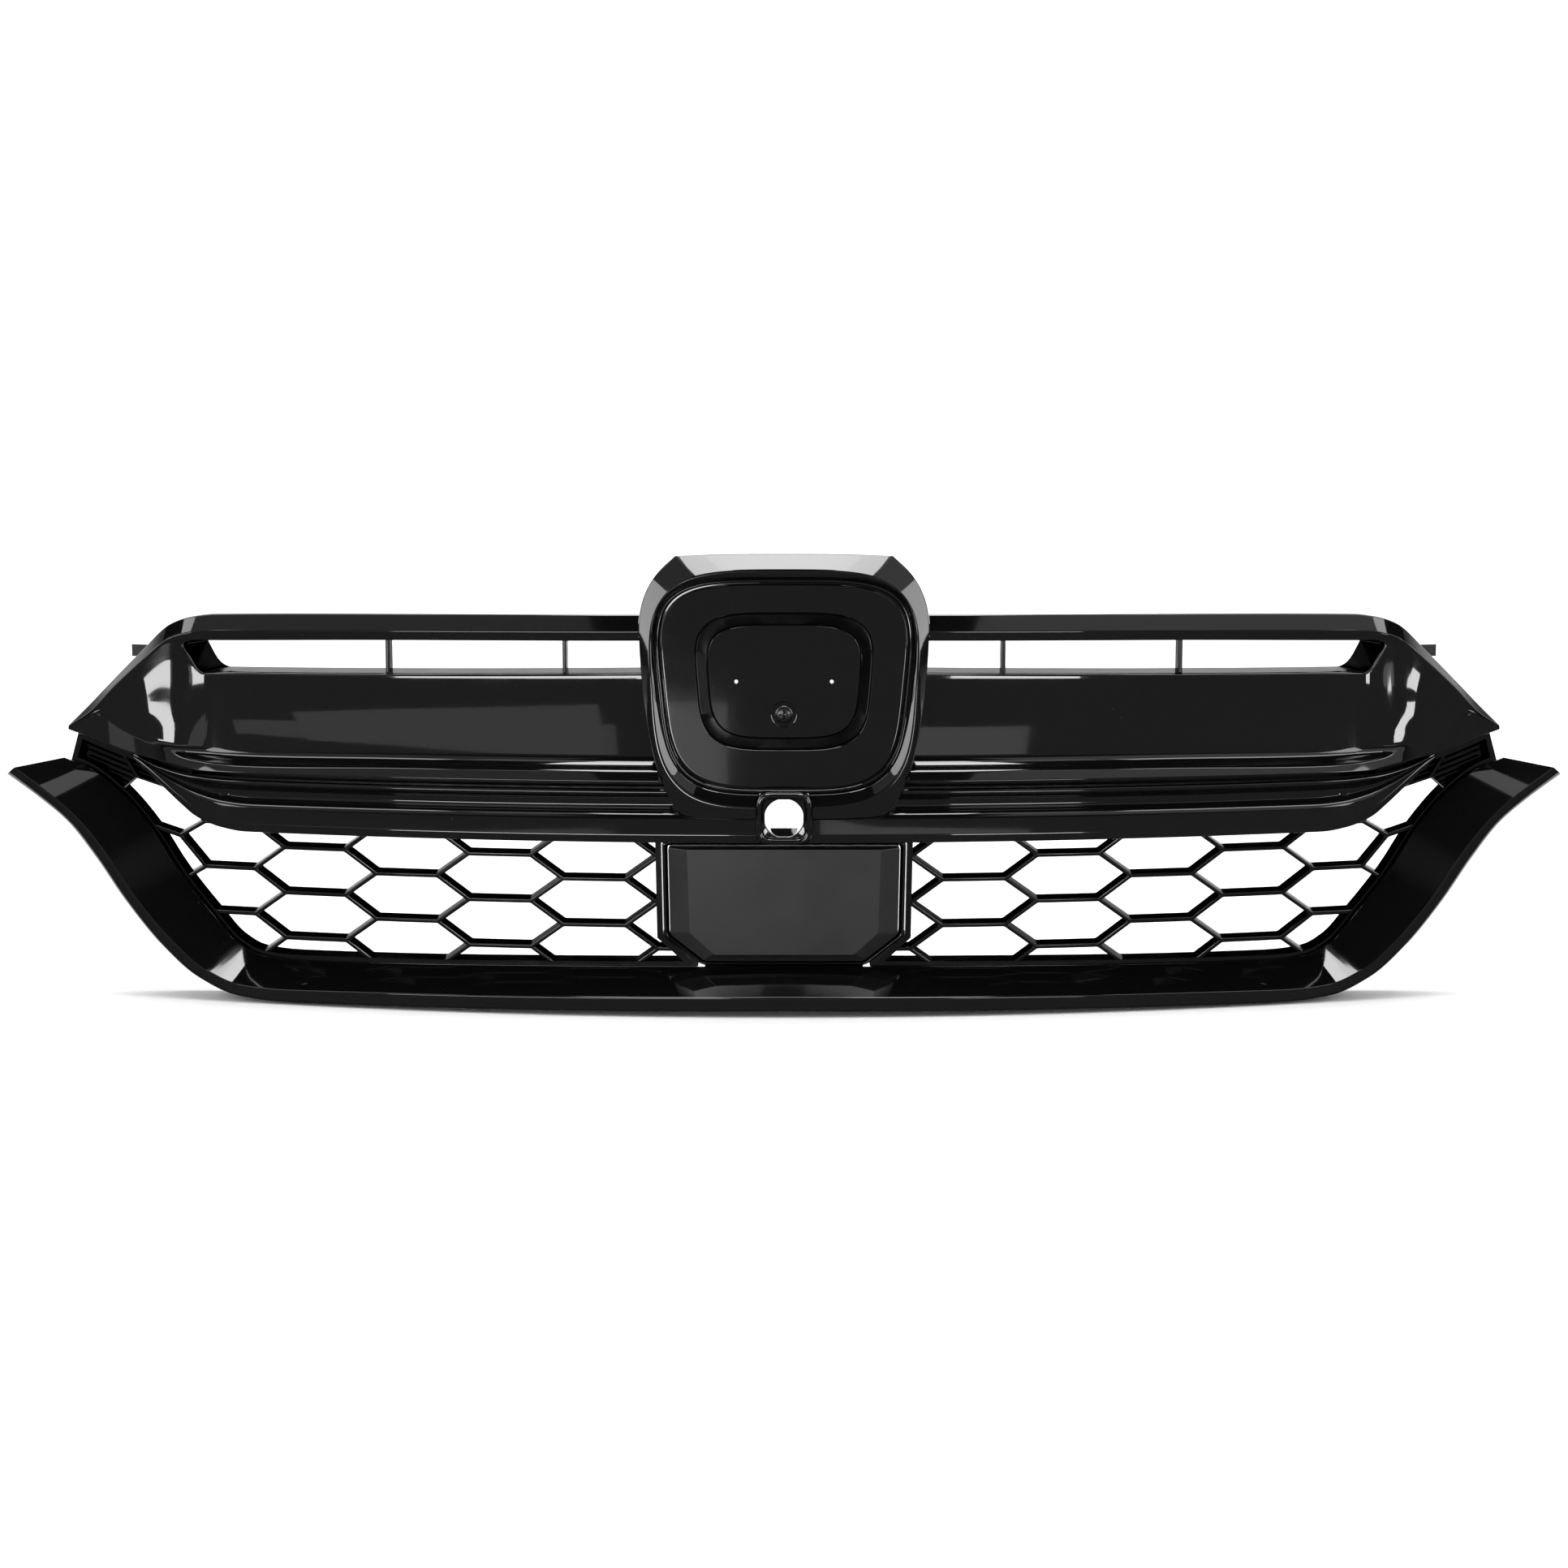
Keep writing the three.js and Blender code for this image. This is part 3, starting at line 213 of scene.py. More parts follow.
def loft(name, sections, wrap=False):
    """A closed skin over sections with equal point counts; wrap joins the last section to the first."""
    width = len(sections[0])
    count = len(sections)
    faces = []
    for s in range(count if wrap else count - 1):
        here, after = s * width, (s + 1) % count * width
        for k in range(width):
            k1 = (k + 1) % width
            faces.append((here + k, after + k, after + k1, here + k1))
    if not wrap:
        faces.append(tuple(range(width)))
        faces.append(tuple(range((count - 1) * width, count * width)))
    return mesh_object(name, [p for section in sections for p in section], faces)


def at_depth(outline, depth, at=spot):
    """A front-view outline as points at one depth; at=place measures it from the swept datum."""
    return [at(x, depth, z) for x, z in outline]


def prism(name, outline, front, back):
    """A front-view outline extruded from one depth to another."""
    return loft(name, [at_depth(outline, depth) for depth in (front, back)])


def block(name, xs, zs, front, back):
    """A block between two x values, two z values and two depths."""
    (x0, x1), (z0, z1) = xs, zs
    return prism(name, [(x0, z0), (x1, z0), (x1, z1), (x0, z1)], front, back)


def join(name, pieces):
    """Several meshes as one object."""
    points, faces = [], []
    for piece in pieces:
        first = len(points)
        points += [v.co.copy() for v in piece.data.vertices]
        faces += [tuple(first + i for i in face.vertices) for face in piece.data.polygons]
        bpy.data.objects.remove(piece)
    return mesh_object(name, points, faces)


def boolean(target, tool, operation="DIFFERENCE", keep=False):
    """Cuts, joins or intersects the target with a tool; the exact solver follows if the fast one fails."""
    before = len(target.data.vertices)
    for solver in ("MANIFOLD", "EXACT"):
        step = target.modifiers.new("step", "BOOLEAN")
        step.operation = operation
        step.object = tool
        step.solver = solver
        made = bpy.data.meshes.new_from_object(target.evaluated_get(bpy.context.evaluated_depsgraph_get()))
        target.modifiers.clear()
        if len(made.vertices) not in (0, before):
            target.data = made
            break
    if not keep:
        bpy.data.objects.remove(tool)
    return target


def fine(obj, sharp=32.0, bevel=0.0):
    """Smooth shading with sharp edges kept, an optional small edge radius, and even normals."""
    limit = math.radians(sharp)
    work = bmesh.new()
    work.from_mesh(obj.data)
    bmesh.ops.remove_doubles(work, verts=work.verts, dist=2e-6)
    bmesh.ops.dissolve_degenerate(work, dist=2e-6, edges=work.edges)
    for face in work.faces:
        face.smooth = True
    for edge in work.edges:
        edge.smooth = not (len(edge.link_faces) == 2 and edge.calc_face_angle(0.0) > limit)
    work.to_mesh(obj.data)
    work.free()
    if bevel:
        soften(obj, bevel, sharp)
    even_normals(obj)
    return obj


def soften(obj, radius, sharp=32.0, segments=3):
    """Rounds an object's sharp edges with a bevel."""
    bevel = obj.modifiers.new("edge_radius", "BEVEL")
    bevel.width = radius * MM
    bevel.segments = segments
    bevel.limit_method = "ANGLE"
    bevel.angle_limit = math.radians(sharp)
    bevel.harden_normals = False


def even_normals(obj):
    """Makes flat faces look flat beside rounded edges."""
    obj.modifiers.new("even_normals", "WEIGHTED_NORMAL").keep_sharp = True


def mirrored(obj, name):
    """A copy of an object on the other side of the centre plane."""
    copy = add_object(name, obj.data.copy())
    for vertex in copy.data.vertices:
        vertex.co.x *= -1
    copy.data.flip_normals()
    return copy


def finish_piece(obj, node, material):
    """Puts a finished piece in the place of a CAD node; a second, darker material of painted shade goes on
    the faces marked for it.
    """
    marked = [face.index for face in obj.data.polygons if face.material_index]
    obj.data.materials.clear()
    obj.data.materials.append(material)
    if marked:
        obj.data.materials.append(PAINTED_SHADE)
    for index in marked:
        obj.data.polygons[index].material_index = 1
    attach(obj, "root")
    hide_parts(node)


# ---- materials


def remap(tree, value, low, high, to_low, to_high):
    """A value moved linearly from one range to another and kept inside it."""
    node = tree.nodes.new("ShaderNodeMapRange")
    for socket, number in zip(("From Min", "From Max", "To Min", "To Max"), (low, high, to_low, to_high)):
        node.inputs[socket].default_value = number
    tree.links.new(value, node.inputs["Value"])
    return node.outputs["Result"]


class Finish:
    """A material being built: each helper adds nodes in object space, some of them on its shader."""

    def __init__(self, name):
        self.material = bpy.data.materials.new(name)
        self.material.use_nodes = True
        self.tree = self.material.node_tree
        self.link = self.tree.links.new
        self.shader = self.tree.nodes["Principled BSDF"].inputs
        self.where = self.tree.nodes.new("ShaderNodeTexCoord").outputs["Object"]

    def add(self, kind, **values):
        """A new node with some of its inputs set."""
        node = self.tree.nodes.new(kind)
        for name, value in values.items():
            node.inputs[name].default_value = value
        return node

    def noise(self, scale, detail=2.0, roughness=0.5):
        """A noise with its scale in features per metre."""
        node = self.add("ShaderNodeTexNoise", Scale=scale, Detail=detail, Roughness=roughness)
        self.link(self.where, node.inputs["Vector"])
        return node.outputs["Fac"]

    def specks(self, scale, size):
        """Sparse dust specks: 1 on a speck and 0 elsewhere."""
        node = self.add("ShaderNodeTexVoronoi", Scale=scale)
        self.link(self.where, node.inputs["Vector"])
        return remap(self.tree, node.outputs["Distance"], 0.0, size, 1.0, 0.0)

    def colour(self, share, first, second):
        """The base colour: the first where share is 0 and the second where it is 1."""
        node = self.tree.nodes.new("ShaderNodeMix")
        node.data_type = "RGBA"
        node.inputs["A"].default_value = (*first, 1)
        node.inputs["B"].default_value = (*second, 1)
        self.link(share, node.inputs["Factor"])
        self.link(node.outputs["Result"], self.shader["Base Color"])

    def rough(self, value, low, high, smoothest, roughest):
        """The roughness, from a value's range."""
        self.link(remap(self.tree, value, low, high, smoothest, roughest), self.shader["Roughness"])

    def bump(self, height, strength, distance_mm, after=None):
        """Relief from a height, on top of an earlier one if there is one."""
        node = self.add("ShaderNodeBump", Strength=strength, Distance=distance_mm * MM)
        self.link(height, node.inputs["Height"])
        if after:
            self.link(after, node.inputs["Normal"])
        self.link(node.outputs["Normal"], self.shader["Normal"])
        return node.outputs["Normal"]


def piano_black():
    """Lacquered black plastic: a deep mirror with faint orange peel, wipe marks and a little dust."""
    finish = Finish("piano_black")
    finish.colour(finish.specks(70.0, 0.025), (0.002, 0.002, 0.0022), (0.15, 0.15, 0.15))
    finish.rough(finish.noise(26.0, 5.0, 0.6), 0.35, 0.75, 0.035, 0.085)
    finish.shader["Coat Weight"].default_value = 0.35
    finish.shader["Coat Roughness"].default_value = 0.02
    peel = finish.bump(finish.noise(240.0, 1.0), 0.06, 0.05)
    finish.bump(finish.noise(2600.0, 2.0), 0.02, 0.006, peel)
    return finish.material


def shaded_black(name, tone, roughness, shallow):
    """A darker finish that reflects little at shallow angles, with moulding ripple and dust."""
    finish = Finish(name)
    finish.colour(finish.specks(80.0, 0.03), (tone,) * 3, (0.14, 0.14, 0.14))
    finish.rough(finish.noise(40.0, 5.0, 0.6), 0.3, 0.75, *roughness)
    finish.shader["Metallic"].default_value = 1.0
    finish.shader["Specular Tint"].default_value = (shallow, shallow, shallow, 1.0)
    finish.bump(finish.noise(1800.0, 2.0), 0.06, 0.01)
    return finish.material


def satin_black():
    """Satin moulded plastic with an even fine texture and a few handling marks."""
    finish = Finish("satin_black")
    finish.colour(finish.specks(90.0, 0.03), (0.011, 0.011, 0.0115), (0.12, 0.12, 0.12))
    finish.rough(finish.noise(34.0, 6.0, 0.65), 0.3, 0.75, 0.30, 0.40)
    finish.bump(finish.noise(2400.0, 3.0, 0.6), 0.22, 0.03)
    return finish.material


def moulded_black():
    """Coarser structural plastic with a matt grain and paler scuffs."""
    finish = Finish("moulded_black")
    scuffs = remap(finish.tree, finish.noise(55.0, 8.0, 0.7), 0.52, 0.8, 0.0, 1.0)
    finish.colour(scuffs, (0.005, 0.005, 0.0052), (0.015, 0.015, 0.015))
    finish.rough(finish.noise(120.0, 4.0), 0.3, 0.7, 0.42, 0.6)
    grain = finish.bump(finish.noise(1500.0, 2.0), 0.35, 0.06)
    finish.bump(finish.noise(130.0, 3.0), 0.1, 0.2, grain)
    return finish.material


def steel(name, colour, smoothest, roughest):
    """Plated steel with fine drawn marks and duller patches."""
    finish = Finish(name)
    finish.shader["Metallic"].default_value = 1.0
    patches = finish.noise(260.0, 5.0, 0.6)
    dark = tuple(0.62 * c for c in colour)
    finish.colour(remap(finish.tree, patches, 0.4, 0.7, 0.0, 1.0), colour, dark)
    finish.rough(patches, 0.3, 0.7, smoothest, roughest)
    finish.bump(finish.noise(3000.0, 2.0), 0.15, 0.02)
    return finish.material


def plain(name, value, roughness):
    """A plain matt stage surface with a trace of mottling."""
    finish = Finish(name)
    finish.colour(finish.noise(3.0, 3.0), (value,) * 3, (value * 0.985,) * 3)
    finish.shader["Roughness"].default_value = roughness
    finish.shader["Specular IOR Level"].default_value = 0.0
    return finish.material


GLOSS = piano_black()
MESH = shaded_black("mesh_black", 0.05, (0.08, 0.18), 0.07)
# painted shade: a darker, duller copy of the same finish, for faces down in recesses
PAINTED_SHADE = shaded_black("painted_shade_black", 0.012, (0.12, 0.24), 0.07)
DUCT = shaded_black("duct_black", 0.02, (0.10, 0.20), 0.33)
SATIN = satin_black()
MOULDED = moulded_black()
ZINC = steel("zinc_plate", (0.52, 0.52, 0.50), 0.25, 0.42)
BLACK_STEEL = steel("black_oxide", (0.06, 0.06, 0.062), 0.18, 0.34)

# ---- badge outlines shared by several pieces
BADGE = {"half_width": 88.5, "half_height": 75.0, "z": 70.6, "taper": 0.1, "power": 4.0}
BADGE_FACE = {"bottom_z": -4.0, "bottom_depth": 6.0, "slope": 0.08, "skirt": 15.0}
SEAT = {"half_width": 64.0, "half_height": 50.0, "z": 74.0, "taper": 0.08, "power": 4.0}
LEDGE_DEPTH = 4.5  # how far behind the badge base's face its ledge is
MOAT_DEPTH = 3.0
BASE_SCREWS = ((-58, 118), (58, 118), (-52, 22), (52, 22))
CREST = {"half_width": 97.0, "half_height": 86.5, "z": 68.2, "taper": 0.06, "power": 3.6}
FRAME_CENTRE = Vector((0.0, 70.0))
FRAME_TOP = [(0, 166.7), (45, 166.3), (80, 165)]
FRAME_SIDE = [(80, 165), (93, 152.5), (101.5, 139), (106, 123.5), (106.6, 105), (104.6, 75), (100.4, 42),
              (94.5, 14), (86, -8), (79, -20), (70, -24.6), (45, -26.4), (0, -27)]
frame_rim_depth = smooth((-27, 3), (12, 5), (80, 14), (123, 20), (150, 24), (167, 26))
crest_depth = smooth((-19, -1), (20, 2), (70, 6), (120, 11), (155, 14))


def badge_face(z):
    """Depth of the badge base's face, which leans back as it rises."""
    return BADGE_FACE["bottom_depth"] + (z - BADGE_FACE["bottom_z"]) * BADGE_FACE["slope"]


def frame_outline():
    """The badge frame's outer edge in the front view."""
    half = curve_through(FRAME_TOP)[:-1] + curve_through(FRAME_SIDE)
    return half + [Vector((-p.x, p.y)) for p in reversed(half[1:-1])]


def towards_centre(point, amount):
    """A point moved towards the badge frame's centre."""
    away = point - FRAME_CENTRE
    return FRAME_CENTRE + away * (1 - amount / away.length)


def frame_cutter():
    """A tool that leaves a gap round the badge frame."""
    grown = [towards_centre(p, -GAP) for p in frame_outline()]
    return prism("frame_cutter", grown, -40, 200)


# ---- badge frame and base


def badge_frame():
    """The raised ring: skirt, top chamfer, crest, dark band, groove, bead and the wall round the base."""
    count = 240
    rim_line = frame_outline()
    offsets = (4.6, 3.5, 2.7, 1.3, 0.5, 3.4, -3.0)
    loops = {grow: superellipse(**BADGE, count=count, grow=grow) for grow in offsets}
    sections = []
    for i, crest in enumerate(superellipse(**CREST, count=count)):
        rim = ray_hit(rim_line, FRAME_CENTRE, crest)
        inside = towards_centre(rim, WALL)
        rim_depth = frame_rim_depth(rim.y)
        crest_at = crest_depth(crest.y)
        face = badge_face(loops[0.5][i].y)
        ledge = face + LEDGE_DEPTH
        rear = rim_depth + BADGE_FACE["skirt"]
        outline = [(rim, rear, 0), (rim, rim_depth, 1.0), (crest, crest_at, 2.2),
                   (loops[4.6][i], face - 0.9, 0.6), (loops[3.5][i], face + 1.1, 0.4),
                   (loops[2.7][i], face - 0.9, 0.7), (loops[1.3][i], face - 0.9, 0.7),
                   (loops[0.5][i], face + 0.6, 0.4), (loops[0.5][i], ledge, 0),
                   (loops[-3.0][i], ledge, 0), (loops[-3.0][i], ledge + WALL, 0),
                   (loops[3.4][i], ledge + WALL, 0), (loops[3.4][i], max(face + 2, crest_at + 5), 1.0),
                   (inside, rim_depth + WALL + 1, 1.0), (inside, rear, 0)]
        line = [place(p.x, depth, p.y) for p, depth, _ in outline]
        sections.append(rounded(line, [r * MM for _, _, r in outline], closed=True, arc=3))
    ring = loft("badge_frame_ring", sections, wrap=True)
    return boolean(ring, camera_cutter())


def badge_base():
    """The recessed plate, with a plain moulded moat whose floor is darkened with painted shade, a
    counterbored screw seat and two locating holes.
    """

    def rings(shape, profile):
        return [at_depth(superellipse(**shape, count=144, grow=grow), depth) for grow, depth in profile]

    edge = [(-GAP, 4.0), (-GAP, 1.3), (-0.75, 0.5), (-1.3, 0.12), (-2.0, 0.0)]
    plate = loft("badge_base_plate", rings(BADGE, edge))
    moat = [(0.5, -1.0), (0.5, 0.0), (0.0, 0.5), (-0.6, 2.6), (-1.2, MOAT_DEPTH), (-7.6, MOAT_DEPTH),
            (-8.2, 2.6), (-8.8, 0.5), (-9.3, 0.0), (-9.3, -1.0)]
    boolean(plate, loft("moat", [list(ring) for ring in zip(*rings(SEAT, moat))], wrap=True))
    screw_seat = [(9.6, -1), (9.6, 0), (9.0, 0.4), (9.0, 1.2), (2.4, 1.21), (2.4, 9)]
    locating_hole = [(1.7, -1), (1.7, 0), (1.3, 0.4), (1.3, 9)]
    for x, z, profile in ((0, 50.0, screw_seat), (-35.0, 74.0, locating_hole), (35.0, 74.0, locating_hole)):
        boolean(plate, lathe("hole", profile, x, z, 48))
    for x, z in BASE_SCREWS:
        boolean(plate, lathe("boss", [(5, 3), (5, 11.3), (4.7, 11.6)], x, z, 24), "UNION")
        boolean(plate, lathe("pilot", [(2, 3.4), (2, 13)], x, z, 24))
    # the moat floor takes the darker material: painted shade in the recess
    moat_floor = (MOAT_DEPTH - 0.6 - ORIGIN_Y) * MM
    for face in plate.data.polygons:
        face.material_index = int(face.center.y > moat_floor and face.normal.y < -0.5)
    for vertex in plate.data.vertices:
        vertex.co.y += badge_face(vertex.co.z / MM + ORIGIN_Z) * MM
    return plate


def lathe(name, profile, x, z, sides):
    """A closed turned solid about a front-to-back axis, from (radius, depth) points."""
    rings = [[spot(x + r * math.cos(a), depth, z + r * math.sin(a))
              for a in (2 * math.pi * i / sides for i in range(sides))] for r, depth in profile]
    return loft(name, rings)


# ---- upper wing mouldings
WING = {"inner": 92.0, "outer": 546.0, "hollow_end": 500.0, "flange": 22.0, "bottom_flange": 16.0}
WING_RADII = (0, 1.2, 1.1, 3.0, 14.0, 14.0, 8.0, 1.4, 1.2, 0)
wing_top = smooth((92, 121.5), (280, 120), (430, 117), (449, 114.5), (465, 109), (489, 87.3), (512, 64.7),
                  (532, 44.3), (546, 31))
wing_top_depth = smooth((92, 30), (430, 31.5), (449, 30), (465, 28), (489, 22), (512, 16), (532, 9), (546, 5))
crease_height = smooth((92, 109), (280, 107.4), (440, 104), (456, 101.5), (466, 98.2), (484, 83.5), (508, 62),
                       (528, 42), (546, 30.2))
crease_depth = smooth((92, 24), (430, 24), (449, 22), (466, 16), (484, 9.5), (508, 6), (528, 3), (546, 3))
panel_depth = smooth((92, 22), (420, 24), (438, 25), (452, 21.5), (466, 14.5), (480, 9.5), (498, 7),
                     (528, 4.5), (546, 4))
rim_height = smooth((92, 8.3), (280, 7.6), (405, 5.6), (430, 6.2), (454, 9), (481, 19), (501, 28),
                    (526, 39.5), (546, 29.6))
rim_depth_at = smooth((92, 5), (405, 6), (440, 8.5), (480, 10), (505, 9), (528, 6), (546, 3.5))
wing_bottom = smooth((92, 0), (393, -0.6), (438, -0.8), (459, 2.7), (482, 7.2), (502, 11.6), (540, 25),
                     (546, 27.4))
lip_size = smooth((92, 1), (436, 1), (470, 0.25), (546, 0.25))  # the lip under the crease fades out here


def wing_profile(x):
    """The wing's outside at x, from the top flange's rear edge round the front to the bottom flange's."""
    top, bottom = wing_top(x), wing_bottom(x)
    reach = min(1.0, (top - bottom) / 50)
    crease, rim = crease_height(x), rim_height(x)
    step = reach * lip_size(x)
    lip = crease - 8 * step
    deep, front, low = panel_depth(x), crease_depth(x), rim_depth_at(x)

    def panel(share):
        return lip + (rim - lip) * share

    return [
        (wing_top_depth(x) + WING["flange"] * reach + 1, top - reach),
        (wing_top_depth(x), top),
        (front, crease),
        (front + 4 * step, lip),
        (max(front, deep) + 5 * step, panel(0.3)),
        (deep, panel(0.65)),
        ((deep + low) / 2 + reach, panel(0.94)),
        (low, rim),
        (low - 4 * reach, bottom + 0.1 * (rim - bottom)),
        (low + WING["bottom_flange"] * reach + 1, bottom),
    ]


def wing_inside(x):
    """The wing's inside at x: its outside one wall thickness in, open at the back."""
    profile = inset(wing_profile(x), WALL)
    (top_depth, top), (low_depth, low) = profile[0], profile[-1]
    return [(top_depth + 1, top), *profile[1:-1], (low_depth + 1, low)]


def wing_surface(x, z):
    """Depth of the wing's front at a point of its panel."""
    line = rounded(wing_profile(x), WING_RADII)[1:]
    for (d0, z0), (d1, z1) in zip(line, line[1:]):
        if z1 <= z <= z0:
            return d0 + (d1 - d0) * (z0 - z) / max(z0 - z1, 1e-9)
    return line[0].x


slot_top = smooth((92, 102.1), (281, 100.4), (448, 96.6))
slot_bottom = smooth((92, 78.1), (407, 73), (440, 72.5))
SLOT_INNER = 86.0
SLOT_CORNER = 432  # where the bottom edge turns up into the slanted end
SLOT_OUTER = 448  # where the top edge meets it
SLOT_LIP = 1.6


def slot_outline(grow=0.0, shift=0.0, bend=0.0):
    """The slot in the front view, with its slanted end shifted inwards and that end's lower corner bent."""
    corner_start = SLOT_CORNER - 2 * bend
    share = (corner_start - SLOT_INNER) / (SLOT_CORNER - SLOT_INNER)
    low_xs = [SLOT_INNER + (x - SLOT_INNER) * share for x in steps(SLOT_INNER, SLOT_CORNER, 8)]
    low = [(x, slot_bottom(x)) for x in low_xs]
    high = [(x, slot_top(x)) for x in reversed(steps(SLOT_INNER, SLOT_OUTER, 8))]
    corner = rounded([(corner_start, slot_bottom(corner_start)), (443.5, 71.8), (455.8, 94.6),
                      (SLOT_OUTER, 96.6)], [0, 9.0 + 2 * bend, 3.0, 0], arc=6)[1:-1]
    shifted = [(x - shift * (x > 400), z) for x, z in [*low, *corner, *high]]
    return inset(shifted, -grow, closed=True)


def slot_cutter():
    """A tool with a flared front, so that the slot it cuts has a rounded lip."""
    arc = [(SLOT_LIP, -6.0)]
    for i in range(6):
        angle = math.pi / 2 * i / 5
        arc.append((SLOT_LIP * (1 - math.sin(angle)), SLOT_LIP * (1 - math.cos(angle))))
    base = slot_outline()
    surface = [wing_surface(x, z) for x, z in base]
    sections = [[place(x, depth + deep, z) for (x, z), depth in zip(slot_outline(grow), surface)]
                for grow, deep in arc]
    sections.append(at_depth(base, 45, place))
    return loft("slot_cutter", sections)


def moulding(name, outside, stations, inside, hollow):
    """A moulding open at the back: an outside less an inside, each a profile of (depth, z) points at x."""
    shell = loft(name, [[place(x, depth, z) for depth, z in outside(x)] for x in stations])
    core = loft("core", [[place(x, depth, z) for depth, z in inside(x)] for x in hollow])
    return boolean(shell, core)


CARRIER_FRONT = 46.0  # depth where bosses meet the upper and middle supports
SIDE_FRONT = 49.5  # and the side supports
FLANGE_FRONT = 30.0  # and the lower support
BOSS_RADIUS = 5.0
PILOT_RADIUS = 2.0
PILOT_DEPTH = 12


def screw_boss(piece, x, z, front, meet):
    """Adds a screw boss with its pilot hole to a moulding; meet is the depth where it ends."""
    boss = [(BOSS_RADIUS, front), (BOSS_RADIUS, meet - 0.3), (BOSS_RADIUS - 0.3, meet)]
    boolean(piece, lathe("boss", boss, x, z, 20), "UNION")
    pilot = [(PILOT_RADIUS, meet - PILOT_DEPTH), (PILOT_RADIUS, meet + 1)]
    boolean(piece, lathe("pilot", pilot, x, z, 16))


def screws_named(*starts):
    """The CAD boxes of the right-hand screws whose names start so."""
    names = [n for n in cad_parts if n.startswith(starts) and n.endswith("_right")]
    return [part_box(n) for n in sorted(names)]


def add_bosses(piece, boxes, front, back, both=False):
    """Bosses where the CAD has screws, from one depth behind the swept datum to just short of another."""
    for low, high in boxes:
        x, z = ((low + high) / 2).x / MM, ((low + high) / 2).z / MM + ORIGIN_Z
        meet = set_back(x) + back - GAP - x / PLAN_RADIUS * BOSS_RADIUS
        for side in (1, -1) if both else (1,):
            screw_boss(piece, side * x, z, set_back(x) + front, meet)


def upper_wing():
    """The gloss moulding with its slot, cut to meet the badge frame, with bosses for its screws."""
    stations = steps(WING["inner"], SLOT_CORNER, 6)[:-1] + steps(SLOT_CORNER, WING["outer"], 2.5)
    hollow = [x for x in stations if x < WING["hollow_end"]]

    def outside(x):
        return rounded(wing_profile(x), WING_RADII)

    wing = moulding("wing_moulding_right", outside, stations, wing_inside, hollow)
    boolean(wing, slot_cutter())
    boolean(wing, frame_cutter())
    add_bosses(wing, screws_named("wing_screw_upper_inner", "wing_screw_upper_middle"), 27.5, CARRIER_FRONT)
    add_bosses(wing, screws_named("wing_screw_upper_outer"), 29.2, CARRIER_FRONT)
    add_bosses(wing, screws_named("wing_screw_lower"), 20.5, CARRIER_FRONT)
    add_bosses(wing, screws_named("side_screw"), 25.5, SIDE_FRONT)
    return wing


LINER = {"inner": 98.0, "front": 33.0, "back": 60.0, "wall": 2.0, "taper": 12.0, "bend": 8.0}
SLOT_RIBS = (163.0, 297.0)


def slot_liner():
    """The duct behind a slot: it tapers to its rear, and two upright ribs cross it."""
    front, back, wall, taper, bend = (LINER[key] for key in ("front", "back", "wall", "taper", "bend"))
    shells = [(wall, 0.0, 0.0, front), (wall - 1.0, taper - 2, bend, back), (-1.4, taper, bend, back),
              (-0.4, 1.0, 0.0, front)]
    loops = [at_depth(slot_outline(*shape), depth, place) for *shape, depth in shells]
    liner = loft("slot_duct_right", [list(ring) for ring in zip(*loops)], wrap=True)
    for x in SLOT_RIBS:
        nose = rounded([(x - 1.5, 57.5), (x - 1.5, 36.5), (x + 1.5, 36.5), (x + 1.5, 57.5)], 1.2, closed=True)
        rib = loft("rib", [[spot(px, set_back(x) + depth, z) for px, depth in nose]
                           for z in (slot_bottom(x) - 0.8, slot_top(x) + 0.8)])
        boolean(liner, rib, "UNION")
    boolean(liner, block("beside", (0, LINER["inner"]), (0, 160), 0, 200))
    # faces turned to the sides, the ribs' flanks and the end walls, take the darker material: painted shade
    # inside the slot
    for face in liner.data.polygons:
        face.material_index = int(abs(face.normal.x) > 0.95)
    return liner


# ---- centre bar and camera bezel
BAR_END = 496.0
BAR_STRAIGHT = 400  # beyond this the bar turns up into a point
BAR_HOLLOW_END = 452.0
BAR_RADII = (0, 1.6, 1.8, 3.0, 5.0, 4.0, 1.2, 0.9, 0)
STRAP_END = 36  # the strap behind the camera opening runs this far to each side
CAMERA = {"z": -25.6, "half_width": 20.3, "half_height": 19.3, "hole": 14.4, "back": 20.0}
bar_top = smooth((0, -4.5), (390, -5.5), (420, -5.2), (450, -3.6), (474, 0.5), (496, 8.5))
bar_lip_top = smooth((0, -38.5), (400, -39), (425, -36), (444, -29), (458, -20), (472, -9.5), (485, 0),
                     (496, 6.8))
bar_bottom = smooth((0, -44.5), (405, -44.5), (425, -42), (444, -35.5), (458, -25.5), (472, -14), (485, -3.5),
                    (496, 5.5))
bar_depth = smooth((0, 4), (400, 5), (440, 8), (470, 12), (496, 17))


def bar_profile(x):
    """The centre bar's outside at x: a bead along its top, a flute, and a face that leans forward."""
    top, bottom, lip = bar_top(x), bar_bottom(x), bar_lip_top(x)
    reach = min(1.0, (top - bottom) / 39)
    depth = bar_depth(x)

    def down(share):
        return top - (top - lip) * share

    return [
        (depth + 16 * reach, top - 0.5 * reach),
        (depth + 1.5 * reach, top),
        (depth, down(0.1)),
        (depth + 7 * reach, down(0.22)),
        (depth + 9 * reach, down(0.42)),
        (depth + 1.5 * reach, down(0.56)),
        (depth - 3.5 * reach, lip),
        (depth - 2 * reach, bottom),
        (depth + 16 * reach, bottom + 0.5 * reach),
    ]


def bar_inside(x):
    """The hollow of the bar at x, open at the back."""
    top, bottom, lip = bar_top(x) - WALL, bar_bottom(x) + WALL, bar_lip_top(x) - 1
    depth = bar_depth(x)
    back, flute = depth + 18, depth + 12.5
    return [(back, top), (flute, top), (flute, (top + lip) / 2), (depth + 1.5, lip), (depth + 2.5, bottom),
            (back, bottom)]


